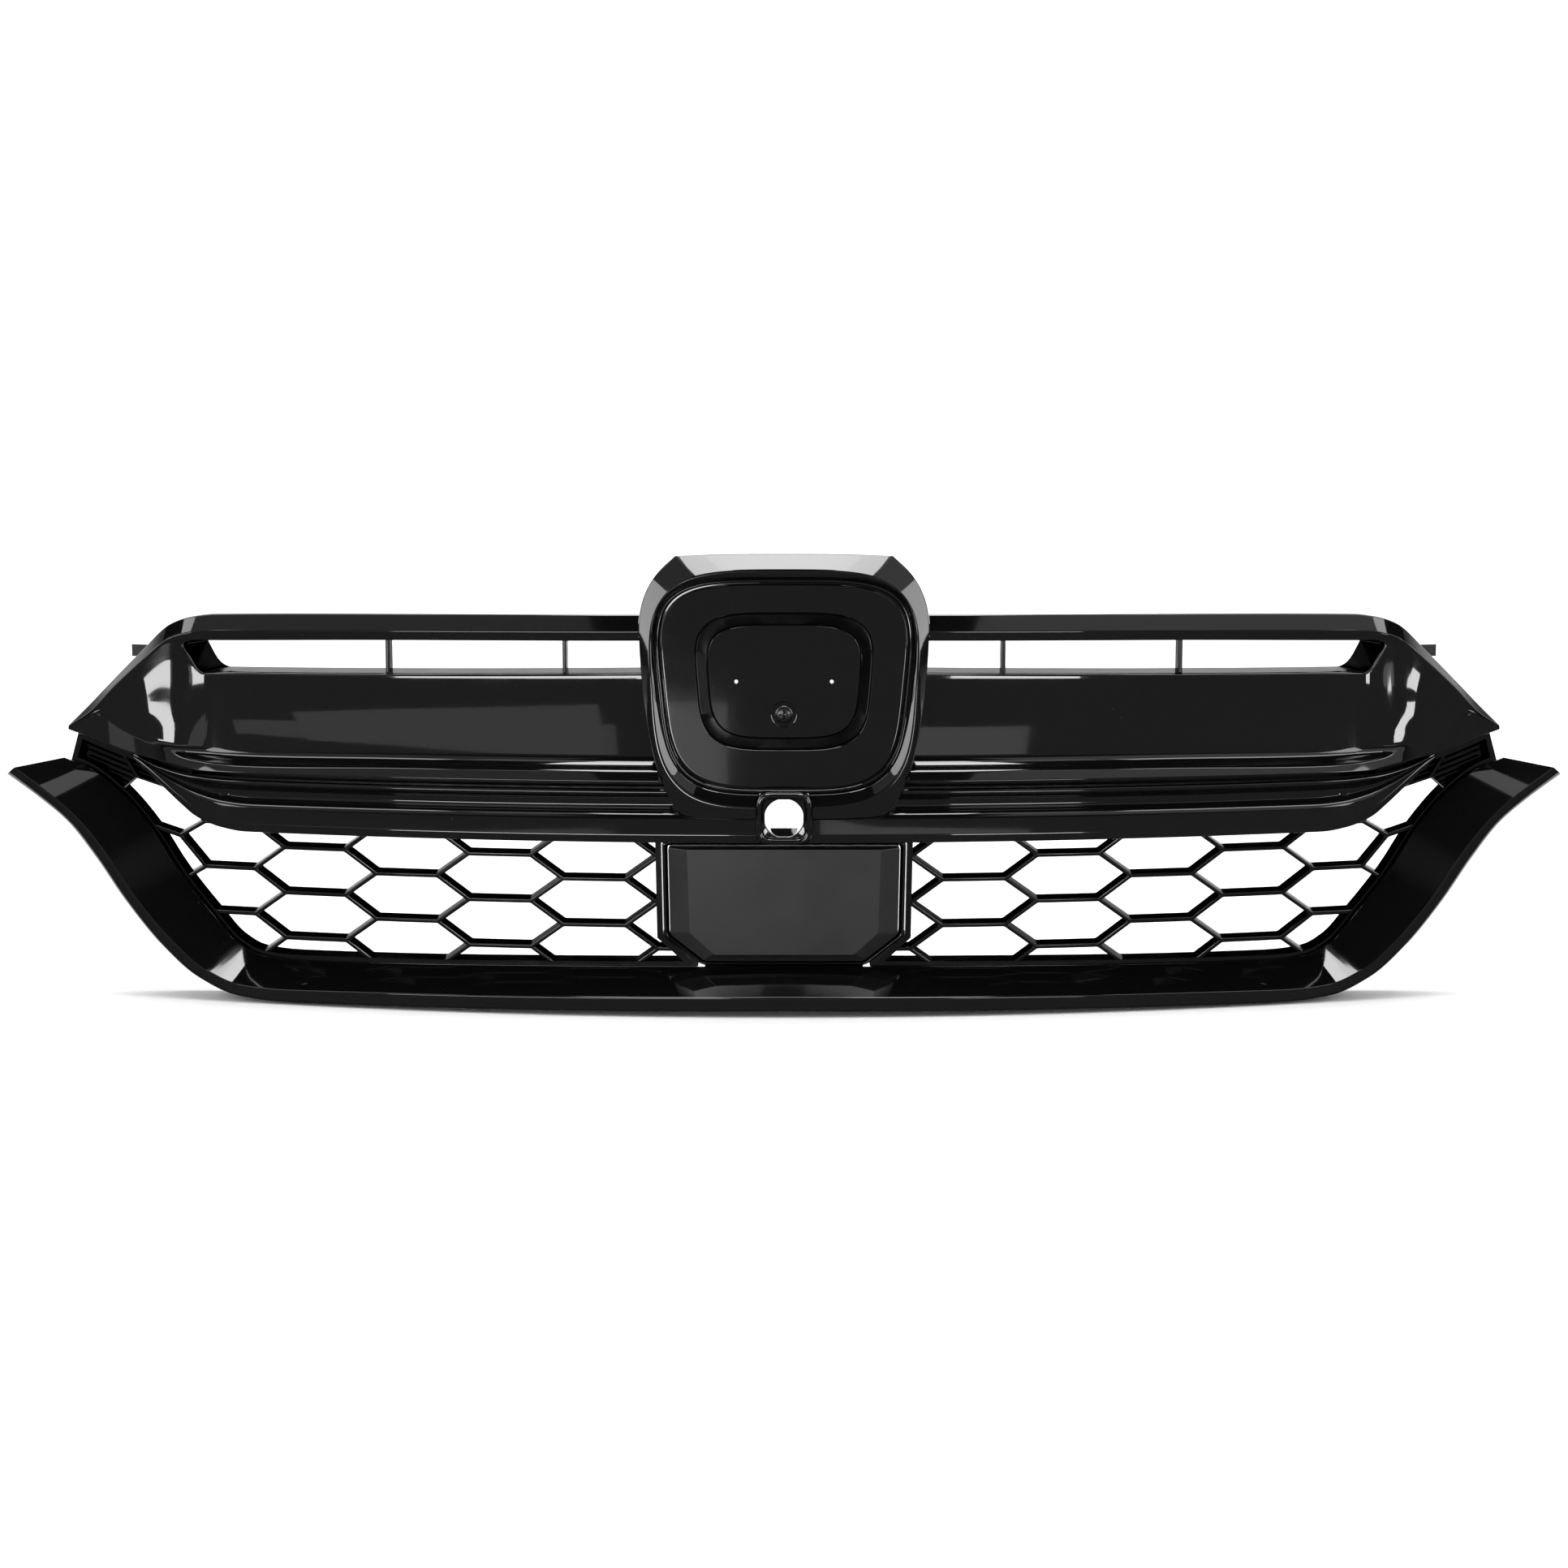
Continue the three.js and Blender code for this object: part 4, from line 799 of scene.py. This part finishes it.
def camera_loop(grow):
    """A rounded square round the camera hole, as points at even angles."""
    half_w, half_h = CAMERA["half_width"] + grow, CAMERA["half_height"] + grow
    return superellipse(half_w, half_h, CAMERA["z"], 0.0, 5.2, 96)


def camera_cutter():
    """A tool that leaves a gap round the camera bezel."""
    return prism("camera_cutter", camera_loop(GAP), -40, 60)


def centre_bar():
    """The full-width bar, with a strap and feet behind the camera opening and its bosses."""
    half = steps(0, BAR_STRAIGHT, 6)[:-1] + steps(BAR_STRAIGHT, BAR_END, 3)
    across = [-x for x in reversed(half[1:])] + half
    hollow = [x for x in across if abs(x) < BAR_HOLLOW_END]
    bar = moulding("centre_bar_moulding", lambda x: rounded(bar_profile(abs(x)), BAR_RADII), across,
                   lambda x: bar_inside(abs(x)), hollow)
    boolean(bar, frame_cutter())
    boolean(bar, camera_cutter())
    top, bottom = CAMERA["z"] - 10.4, bar_bottom(0)
    front = CAMERA["back"] + 0.6
    boolean(bar, block("strap", (-STRAP_END, STRAP_END), (bottom, top), front, front + WALL), "UNION")
    for side in (1, -1):
        ends = (side * (CAMERA["half_width"] + 3), side * STRAP_END)
        boolean(bar, block("foot", ends, (bottom, bottom + WALL), front - 8, front + WALL), "UNION")
    add_bosses(bar, screws_named("bar_screw"), 13.5, CARRIER_FRONT, both=True)
    return bar


def camera_bezel():
    """A rounded square frame with a raised border and a dish that runs into the round hole."""
    border = [(0.0, 20.0), (0.0, -0.6), (-0.5, -2.2), (-1.7, -3.0), (-3.0, -2.9), (-4.0, -1.9), (-4.5, -0.4),
              (-5.2, 0.0)]
    hole = [(0.9, 0.25), (0.35, 0.6), (0.0, 1.3), (0.0, 20.0)]
    loops = [at_depth(camera_loop(grow), depth) for grow, depth in border]
    for grow, depth in hole:
        radius = CAMERA["hole"] + grow
        angles = [math.atan2(z - CAMERA["z"], x) for x, z in camera_loop(-4)]
        loops.append([spot(radius * math.cos(a), depth, CAMERA["z"] + radius * math.sin(a)) for a in angles])
    return loft("camera_ring", loops, wrap=True)


# ---- lower trim
TRIM_STATIONS = [
    # inner edge (x, z), outer edge (x, z), crease position
    ((0, -139.5), (0, -170), 0.6),
    ((140, -140.8), (140, -171), 0.6),
    ((284, -143), (284, -172), 0.6),
    ((368, -143.8), (372, -172.8), 0.62),
    ((397, -141.5), (412, -170), 0.66),
    ((416, -132.5), (445, -157.5), 0.7),
    ((436, -111), (474, -134.5), 0.74),
    ((461, -81), (503, -101.5), 0.76),
    ((484, -47), (526, -70), 0.76),
    ((508, -21), (548, -44), 0.76),
    ((533, -3.5), (572, -26), 0.77),
    ((554, 3.6), (598.5, -9.5), 0.8),
]
trim_columns = zip(*[(*inner, *outer, crease) for inner, outer, crease in TRIM_STATIONS])
trim_inner_x, trim_inner_z, trim_outer_x, trim_outer_z, trim_crease = (
    smooth(*enumerate(column)) for column in trim_columns)
trim_peak = smooth((0, 0), (9, 0), (10, 1.2), (11, 4.6))  # how far the crease stands up at the tips
TRIM_RADII = (0.6, 1.1, 2.0, 2.4, 0.5, 0.5, 2.0, 1.0, 0.6)


def trim_section(station, side):
    """One section of the U-shaped trim: a broad inner face, a crease, and a rolled outer band."""
    inner = Vector((trim_inner_x(station), trim_inner_z(station)))
    outer = Vector((trim_outer_x(station), trim_outer_z(station)))
    across = outer - inner
    width = across.length
    crease = trim_crease(station) * width
    outline = [(0, 18.6), (crease, -9), (0.94 * width, -6.5), (width, 0), (width, 34), (width - WALL, 34),
               (width - WALL, 3), (crease, -4), (0.01 * width, 21.6)]
    made = []
    for along, depth in rounded(outline, TRIM_RADII, closed=True, arc=4):
        where = inner + across * (along / width)
        peak = trim_peak(station) * min(along / crease, (width - along) / (width - crease))
        made.append(place(side * where.x, depth, where.y + peak))
    return made


def lower_trim():
    """The U-shaped trim from tip to tip, with its bosses."""
    stations = steps(0, 3, 0.05)[:-1] + steps(3, len(TRIM_STATIONS) - 1, 0.1)
    left = [trim_section(station, -1) for station in reversed(stations[1:])]
    right = [trim_section(station, 1) for station in stations]
    trim = loft("lower_trim_moulding", left + right)
    add_bosses(trim, screws_named("trim_screw"), -2.4, FLANGE_FRONT, both=True)
    return trim


# ---- honeycomb inserts
HEX = {"columns": 7, "rows": 5, "pitch": 71.0, "row_pitch": 34.7, "flat": 47.0, "first_x": 70.5, "top": -58.5,
       "bar": 3.2, "front": 23.0, "back": 40.0}
RIM = {"wall": 4.4, "front": 22.0, "back": 45.0, "behind_trim": 1.2}
LOUVRE = {"count": 8, "pitch": 4.4, "height": 1.8, "front": 26.0, "face": 29.0, "back": 32.0,
          "start": (478.0, -24.0), "run": (57.0, 19.5)}
CLOSED_CORNER = [(474, -15), (495, -10), (510, -23), (620, -60), (620, 60), (440, 60), (452, -10)]
CORNER_RIBS = [((507, 9), (495, -9.9)), ((495, -9.9), (474, -15.8)), ((495, -9.9), (509.4, -21.9)),
               ((494, 8), (478, -13))]
FLANK = {"start": 402, "narrowing": 0.83, "rise_start": 441, "rise": 0.28}


def flank(x, z):
    """The cells narrow and rise towards the outer ends."""
    if x <= FLANK["start"]:
        return Vector((x, z))
    narrow = FLANK["start"] + (x - FLANK["start"]) * FLANK["narrowing"]
    return Vector((narrow, z + max(0.0, narrow - FLANK["rise_start"]) * FLANK["rise"]))


def insert_outline():
    """The insert's outline on the right: along the trim, the outer end, behind the bar, beside the radar."""
    edge = [(trim_inner_x(s), trim_inner_z(s)) for s in steps(0.5, 11, 0.25)]
    bottom = [(64, -141), *[p for p in inset(edge, -RIM["behind_trim"]) if 80 < p.x < 551]]
    roof = [(x, wing_bottom(x) - 1.4) for x in steps(542, 452, 8)]
    behind_bar = curve_through([(448, -6), (445, -20), (438, -32), (418, -37)], 3)
    top = [(x, -38.5) for x in steps(400, 91.4, 20)]
    return [Vector(p) for p in [*bottom, *roof, *behind_bar, *top, (90.1, -117.2)]]


def hex_cell(column_x, z, grow):
    """One cell's outline, with flats above and below and its points to the sides."""
    half = HEX["flat"] / 2
    rise = HEX["row_pitch"] / 2
    point = HEX["pitch"] - half
    corners = [(-point, 0), (-half, -rise), (half, -rise), (point, 0), (half, rise), (-half, rise)]
    outline = inset([flank(column_x + dx, z + dz) for dx, dz in corners], HEX["bar"] / 2 - grow, closed=True)
    return rounded(outline, 0.7, closed=True, arc=3)


def cell_cutter(x, z):
    """One cell as a tool: rounded front edges, then mould draft towards the rear."""
    thick = HEX["back"] - HEX["front"]
    rings = [(0.9, -3.0), (0.9, 0.0), (0.45, 0.12), (0.12, 0.45), (0.0, 1.0), (-0.7, thick + 3)]
    return loft("cell", [at_depth(hex_cell(x, z, grow), HEX["front"] + deep) for grow, deep in rings])


def corner_bar(start, end, width, front, back):
    """A straight rib in the front view with a rounded front."""
    start, end = Vector(start), Vector(end)
    along = (end - start).normalized()
    side = Vector((-along.y, along.x)) * width / 2
    start, end = start - along * 1.0, end + along * 1.0
    loops = []
    for share, depth in ((0.45, front), (0.8, front + 0.35), (1.0, front + 1.0), (1.1, back)):
        loops.append([spot(p.x, depth, p.y) for p in
                      (start - side * share, end - side * share, end + side * share, start + side * share)])
    return loft("rib", loops)


def honeycomb():
    """The insert: a rim, the cells, and the closed corner with its louvres, bent to the plan sweep last."""
    edge = insert_outline()
    depths = (RIM["front"] - 3, RIM["back"] + 3)
    inside = inset(edge, RIM["wall"], closed=True)
    corner = prism("corner", CLOSED_CORNER, *depths)
    rim = prism("honeycomb_insert_right", edge, RIM["front"], RIM["back"])
    boolean(rim, prism("inside", inside, *depths))
    within = inset(edge, 1, closed=True)
    bars = prism("bars", within, HEX["front"], HEX["back"])
    cells = []
    for column in range(HEX["columns"]):
        x = HEX["first_x"] + column * HEX["pitch"]
        top = HEX["top"] - (0 if column % 2 else HEX["row_pitch"] / 2)
        cells += [cell_cutter(x, top - row * HEX["row_pitch"]) for row in range(-2, HEX["rows"])]
    boolean(bars, join("cells", cells))
    boolean(bars, corner, keep=True)
    face = prism("face", within, LOUVRE["face"], LOUVRE["back"])
    boolean(face, corner, "INTERSECT", keep=True)
    clear = prism("clear", inset(edge, 1.2, closed=True), *depths)
    slats = []
    for index in range(LOUVRE["count"]):
        low = Vector(LOUVRE["start"]) + Vector((0.0, index * LOUVRE["pitch"]))
        high = low + Vector(LOUVRE["run"])
        slats.append(corner_bar(low, high, LOUVRE["height"], LOUVRE["front"], LOUVRE["face"] + 1))
    ribs = [corner_bar(a, b, HEX["bar"], HEX["front"], LOUVRE["face"] + 1.5) for a, b in CORNER_RIBS]
    boolean(face, join_overlapping([*slats, *ribs], corner, clear), "UNION")
    bpy.data.objects.remove(corner)
    bpy.data.objects.remove(clear)
    for piece in (bars, face):
        boolean(rim, piece, "UNION")
    slice_across(rim, 12.0)
    for vertex in rim.data.vertices:
        vertex.co.y += set_back(vertex.co.x / MM) * MM
    return rim


def join_overlapping(pieces, *limits):
    """Ribs that cross each other as one solid, kept inside the limits."""
    first, *others = pieces
    for other in others:
        boolean(first, other, "UNION")
    for limit in limits:
        boolean(first, limit, "INTERSECT", keep=True)
    return first


def slice_across(obj, pitch):
    """Cuts a mesh's faces by upright planes, so that it can take the plan sweep."""
    work = bmesh.new()
    work.from_mesh(obj.data)
    xs = [v.co.x for v in work.verts]
    for x in steps(min(xs), max(xs), pitch * MM)[1:-1]:
        geometry = [*work.verts, *work.edges, *work.faces]
        bmesh.ops.bisect_plane(work, geom=geometry, plane_co=(x, 0, 0), plane_no=(1, 0, 0), dist=1e-7)
    work.to_mesh(obj.data)
    work.free()


# ---- radar surround and cover


def symmetric(half):
    """A whole outline from its right half."""
    return [*half, *[(-x, z) for x, z in reversed(half)]]


def shell_of(name, shells, wrap=False):
    """A skin over outlines at depths, each with rounded corners."""
    loops = [at_depth(rounded(symmetric(half), radius, closed=True, arc=6), depth)
             for half, depth, radius in shells]
    return loft(name, loops, wrap)


def radar_surround():
    """The gloss border of the cover, with a lip that closes the gap behind the trim."""
    outer = [(90.3, -45.6), (89, -116.6), (61, -138.7)]
    middle = [(88.6, -46.6), (87.4, -116), (60.3, -137.2)]
    inner = [(86.3, -48.3), (85, -114.8), (59.3, -135.2)]
    border = shell_of("radar_border", [(outer, 44, 3.5), (outer, 18.9, 3.5), (middle, 18, 3.2),
                                       (inner, 19.6, 2.6), (inner, 44, 2.6)], wrap=True)
    return boolean(border, block("lip", (-59, 59), (-144, -137), 24, 27), "UNION")


def radar_cover():
    """The flat cover with its stepped rim and broad bevelled flanks."""
    rim = [(85.6, -48.9), (84.3, -114.5), (58.9, -134.6)]
    step = [(82.6, -49.2), (81.3, -113.3), (57.6, -132.2)]
    panel = [(71.5, -49.9), (69.6, -112.2), (51.6, -128.6)]
    hollow = [(79, -52), (77, -112), (55, -130)]
    cover = shell_of("radar_panel", [(rim, 26, 2.4), (rim, 14, 2.4), (step, 12, 1.6), (panel, 7, 1.4)])
    return boolean(cover, prism("hollow", symmetric(hollow), 17, 30))


# ---- screws
HEAD_HEIGHT = 2.6
TIP_LENGTH = 2.6
LONG_SCREW = 15.0  # below the head
SHORT_SCREW = 11.0


def pan_screw(length, head_radius=4.6):
    """A pan-head screw along +Y with a cross recess in its head and a ridged shank, seat at the origin."""
    curve = [(1.0, 0.0), (1.0, 0.7), (0.97, 1.2), (0.87, 1.8), (0.7, 2.3), (0.43, 2.55), (0.2, HEAD_HEIGHT)]
    head = [(share * head_radius, up) for share, up in curve]
    shank = []
    along = TIP_LENGTH - length
    while along < -1.2:
        shank += [(1.3, along), (1.6, along + 0.45), (1.3, along + 0.9)]
        along += 1.1
    profile = [(0.2, -length), *shank, (1.5, -0.2), (1.5, 0.0), *head]
    screw = lathe("screw", profile, 0, 0, 40)
    reach = 0.54 * head_radius
    for across, up in ((reach, 0.55), (0.55, reach)):
        outline = [(-across, -up), (across, -up), (across, up), (-across, up)]
        slot = loft("recess", [[spot(x * share, depth, z * share) for x, z in outline]
                               for share, depth in ((0.45, 0.9), (1.0, 2.0), (1.15, 3.0))])
        boolean(screw, slot)
    for vertex in screw.data.vertices:
        vertex.co -= spot(0, 0, 0)
    return fine(screw, sharp=30)


def place_screws():
    """A detailed screw for every CAD screw, at the CAD screw's own place."""
    long_screw, short_screw = pan_screw(LONG_SCREW), pan_screw(SHORT_SCREW)
    seat_screw = pan_screw(LONG_SCREW, head_radius=6.6)
    for pattern, material in ((long_screw, ZINC), (short_screw, ZINC), (seat_screw, BLACK_STEEL)):
        pattern.data.materials.clear()
        pattern.data.materials.append(material)
    for node in sorted(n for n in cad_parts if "screw" in n):
        low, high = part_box(node)
        centre = (low + high) / 2
        faces_front = node == "badge_centre_screw"
        pattern = short_screw if high.y - low.y < LONG_SCREW * MM else long_screw
        if faces_front:
            pattern = seat_screw
        screw = add_object(f"{node}_pan_head", pattern.data)
        soften(screw, 0.12, sharp=30, segments=2)
        even_normals(screw)
        seat = low.y + HEAD_HEIGHT * MM if faces_front else high.y - HEAD_HEIGHT * MM
        screw.location = (centre.x, seat, centre.z)
        screw.rotation_euler = (math.pi if faces_front else 0.0, 0.0, 0.0)
        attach(screw, "root")
        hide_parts(node)
    for pattern in (long_screw, short_screw, seat_screw):
        bpy.data.objects.remove(pattern)


# ---- carried-over CAD nodes


def dress_cad_nodes():
    """The carrier, brackets and clips keep their CAD shape, with soft moulded edges and real finishes."""
    for name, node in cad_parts.items():
        if node.hide_render:
            continue
        is_clip = name.startswith("spring_clip")
        node.data.materials.clear()
        node.data.materials.append(ZINC if is_clip else MOULDED)
        soften(node, 0.3 if is_clip else 0.5, sharp=40, segments=2)
        even_normals(node)


# ---- camera, light and stage
TILT = math.radians(8.0)  # the camera looks down by this much
DISTANCE = 2.3
LENS = 72.15
OVERHEAD_Z = 1.6  # height of the soft boxes above the grille
FRONT_Y = -2.2  # where the soft boxes beside and under the camera stand
PAPER_WIDTH = 12.0


def make_camera():
    """A long lens straight ahead of the grille and a little above it."""
    camera = bpy.data.cameras.new("camera")
    camera.lens = LENS
    camera.sensor_width = 36.0
    camera.clip_end = 50.0
    made = add_object("camera", camera)
    target = spot(0, 0, 0)
    made.location = target + Vector((0, -DISTANCE * math.cos(TILT), DISTANCE * math.sin(TILT)))
    made.rotation_euler = (math.pi / 2 - TILT, 0, 0)
    bpy.context.scene.camera = made


def area_light(name, place_m, look_at, width, height, radiance):
    """A soft box of a given size and brightness that looks at a point."""
    light = bpy.data.lights.new(name, "AREA")
    light.shape = "RECTANGLE"
    light.size = width
    light.size_y = height
    light.energy = radiance * math.pi * width * height
    made = add_object(name, light)
    made.location = place_m
    made.rotation_euler = (Vector(look_at) - Vector(place_m)).to_track_quat("-Z", "Y").to_euler()


def overhead_light(name, x, y, width, depth, radiance):
    """A soft box above the grille, facing down."""
    area_light(name, (x, y, OVERHEAD_Z), (x, y, 0), width, depth, radiance)


def front_light(name, x, z, width, height, radiance):
    """A soft box in front of the grille, facing it."""
    area_light(name, (x, FRONT_Y, z), (x, 0, z), width, height, radiance)


def paper(name, line, material):
    """A wide sheet of studio paper that follows a line of (y, z) points."""
    half = PAPER_WIDTH / 2
    points = [(x, y, z) for x in (-half, half) for y, z in line]
    count = len(line)
    mesh = bpy.data.meshes.new(name)
    mesh.from_pydata(points, [], [(i, i + 1, count + i + 1, count + i) for i in range(count - 1)])
    for face in mesh.polygons:
        face.use_smooth = True
    mesh.materials.append(material)
    sheet = add_object(name, mesh)
    return sheet


def make_stage():
    """A pale floor and the backdrop it rises into; the floor in front doesn't show in the gloss."""
    floor_z = cad_bounds[0].z - 0.0005
    front, middle, back, height, bend = -6.0, 0.0, 3.2, 5.0, 1.2
    rise = [(middle, floor_z), (back - bend, floor_z)]
    for i in range(1, 17):
        angle = math.pi / 2 * i / 16
        rise.append((back - bend + bend * math.sin(angle), floor_z + bend * (1 - math.cos(angle))))
    rise.append((back, floor_z + height))
    material = plain("sweep_paper", 0.82, 0.9)
    paper("studio_floor", [(front, floor_z), (middle, floor_z)], material).visible_glossy = False
    paper("studio_sweep", rise, material)


def make_world(front, back):
    """An empty studio: pale low down in front of the grille, and dark behind and above it."""
    world = bpy.data.worlds.new("studio")
    world.use_nodes = True
    tree = world.node_tree
    nodes, link = tree.nodes, tree.links.new
    axes = nodes.new("ShaderNodeSeparateXYZ")
    link(nodes.new("ShaderNodeTexCoord").outputs["Generated"], axes.inputs["Vector"])
    tone = nodes.new("ShaderNodeMath")
    tone.operation = "MULTIPLY"
    link(remap(tree, axes.outputs["Y"], -0.5, 0.15, front, back), tone.inputs[0])
    link(remap(tree, axes.outputs["Z"], 0.5, 0.64, 1.0, 0.08), tone.inputs[1])
    link(tone.outputs["Value"], nodes["Background"].inputs["Color"])
    bpy.context.scene.world = world


def make_light():
    """Each box is where one set of gloss faces looks: chamfers up, wings to the front, scoops low down."""
    make_world(0.17, 0.03)
    overhead_light("overhead_box", 0, 0.01, 1.0, 0.7, 11.0)
    area_light("backdrop_wash", (0, 1.4, 2.6), (0, 2.6, 0.2), 5.0, 0.8, 12.0)
    for name, side, wing in (("left", -1, 0.3), ("right", 1, 0.6)):
        overhead_light(f"{name}_crown_box", 0.33 * side, -0.53, 0.3, 0.38, 10.0)
        overhead_light(f"{name}_tip_box", 0.66 * side, -0.62, 0.32, 0.4, 1.1)
        overhead_light(f"{name}_shoulder_box", 1.3 * side, -0.48, 0.9, 0.28, 4.5)
        overhead_light(f"{name}_wing_box", 1.35 * side, -1.15, 1.4, 1.0, wing)
        area_light(f"{name}_side", (2.5 * side, -0.7, 0.8), (0, 0, -0.15), 1.6, 1.8, 4.5)
    front_light("left_low_box", -0.85, -0.125, 1.3, 0.35, 12.0)
    front_light("right_low_box", 0.85, -0.125, 0.5, 0.35, 12.0)
    front_light("left_card", -0.14, -0.14, 0.12, 0.3, 1.0)
    for placing in ((-1.4, 0.78, 1.4, 0.42, 0.5), (-1.6, 0.84, 1.9, 0.26, 0.45),
                    (-1.2, 0.88, 0.9, 0.2, 0.4), (0.55, 0.86, 0.8, 0.26, 0.7)):
        front_light("front_box", *placing)
    bpy.context.scene.view_settings.view_transform = "Standard"


# ---- assembly
make_camera()
make_stage()
make_light()

for build, node, material, slot_name, edge in (
    (upper_wing, "upper_wing", GLOSS, "gloss_black", 0.0),
    (slot_liner, "slot_liner", DUCT, "structure_black", 0.25),
    (honeycomb, "honeycomb", MESH, "gloss_black", 0.0),
):
    right_piece = build()
    left_piece = mirrored(right_piece, right_piece.name.replace("right", "left"))
    for side, piece in (("right", right_piece), ("left", left_piece)):
        fine(piece, bevel=edge)
        finish_piece(piece, f"{node}_{side}", material)

for build, node, material, slot_name, sharp, edge in (
    (badge_frame, "badge_frame", GLOSS, "gloss_black", 50, 0.0),
    (badge_base, "badge_base", GLOSS, "gloss_black", 32, 0.0),
    (centre_bar, "centre_bar", GLOSS, "gloss_black", 32, 0.0),
    (camera_bezel, "camera_bezel", GLOSS, "gloss_black", 60, 0.0),
    (lower_trim, "lower_trim", GLOSS, "gloss_black", 32, 0.0),
    (radar_surround, "radar_surround", GLOSS, "gloss_black", 60, 0.3),
    (radar_cover, "radar_cover", SATIN, "satin_black", 14, 0.5),
):
    finish_piece(fine(build(), sharp=sharp, bevel=edge), node, material)

place_screws()
dress_cad_nodes()

bpy.context.view_layer.update()
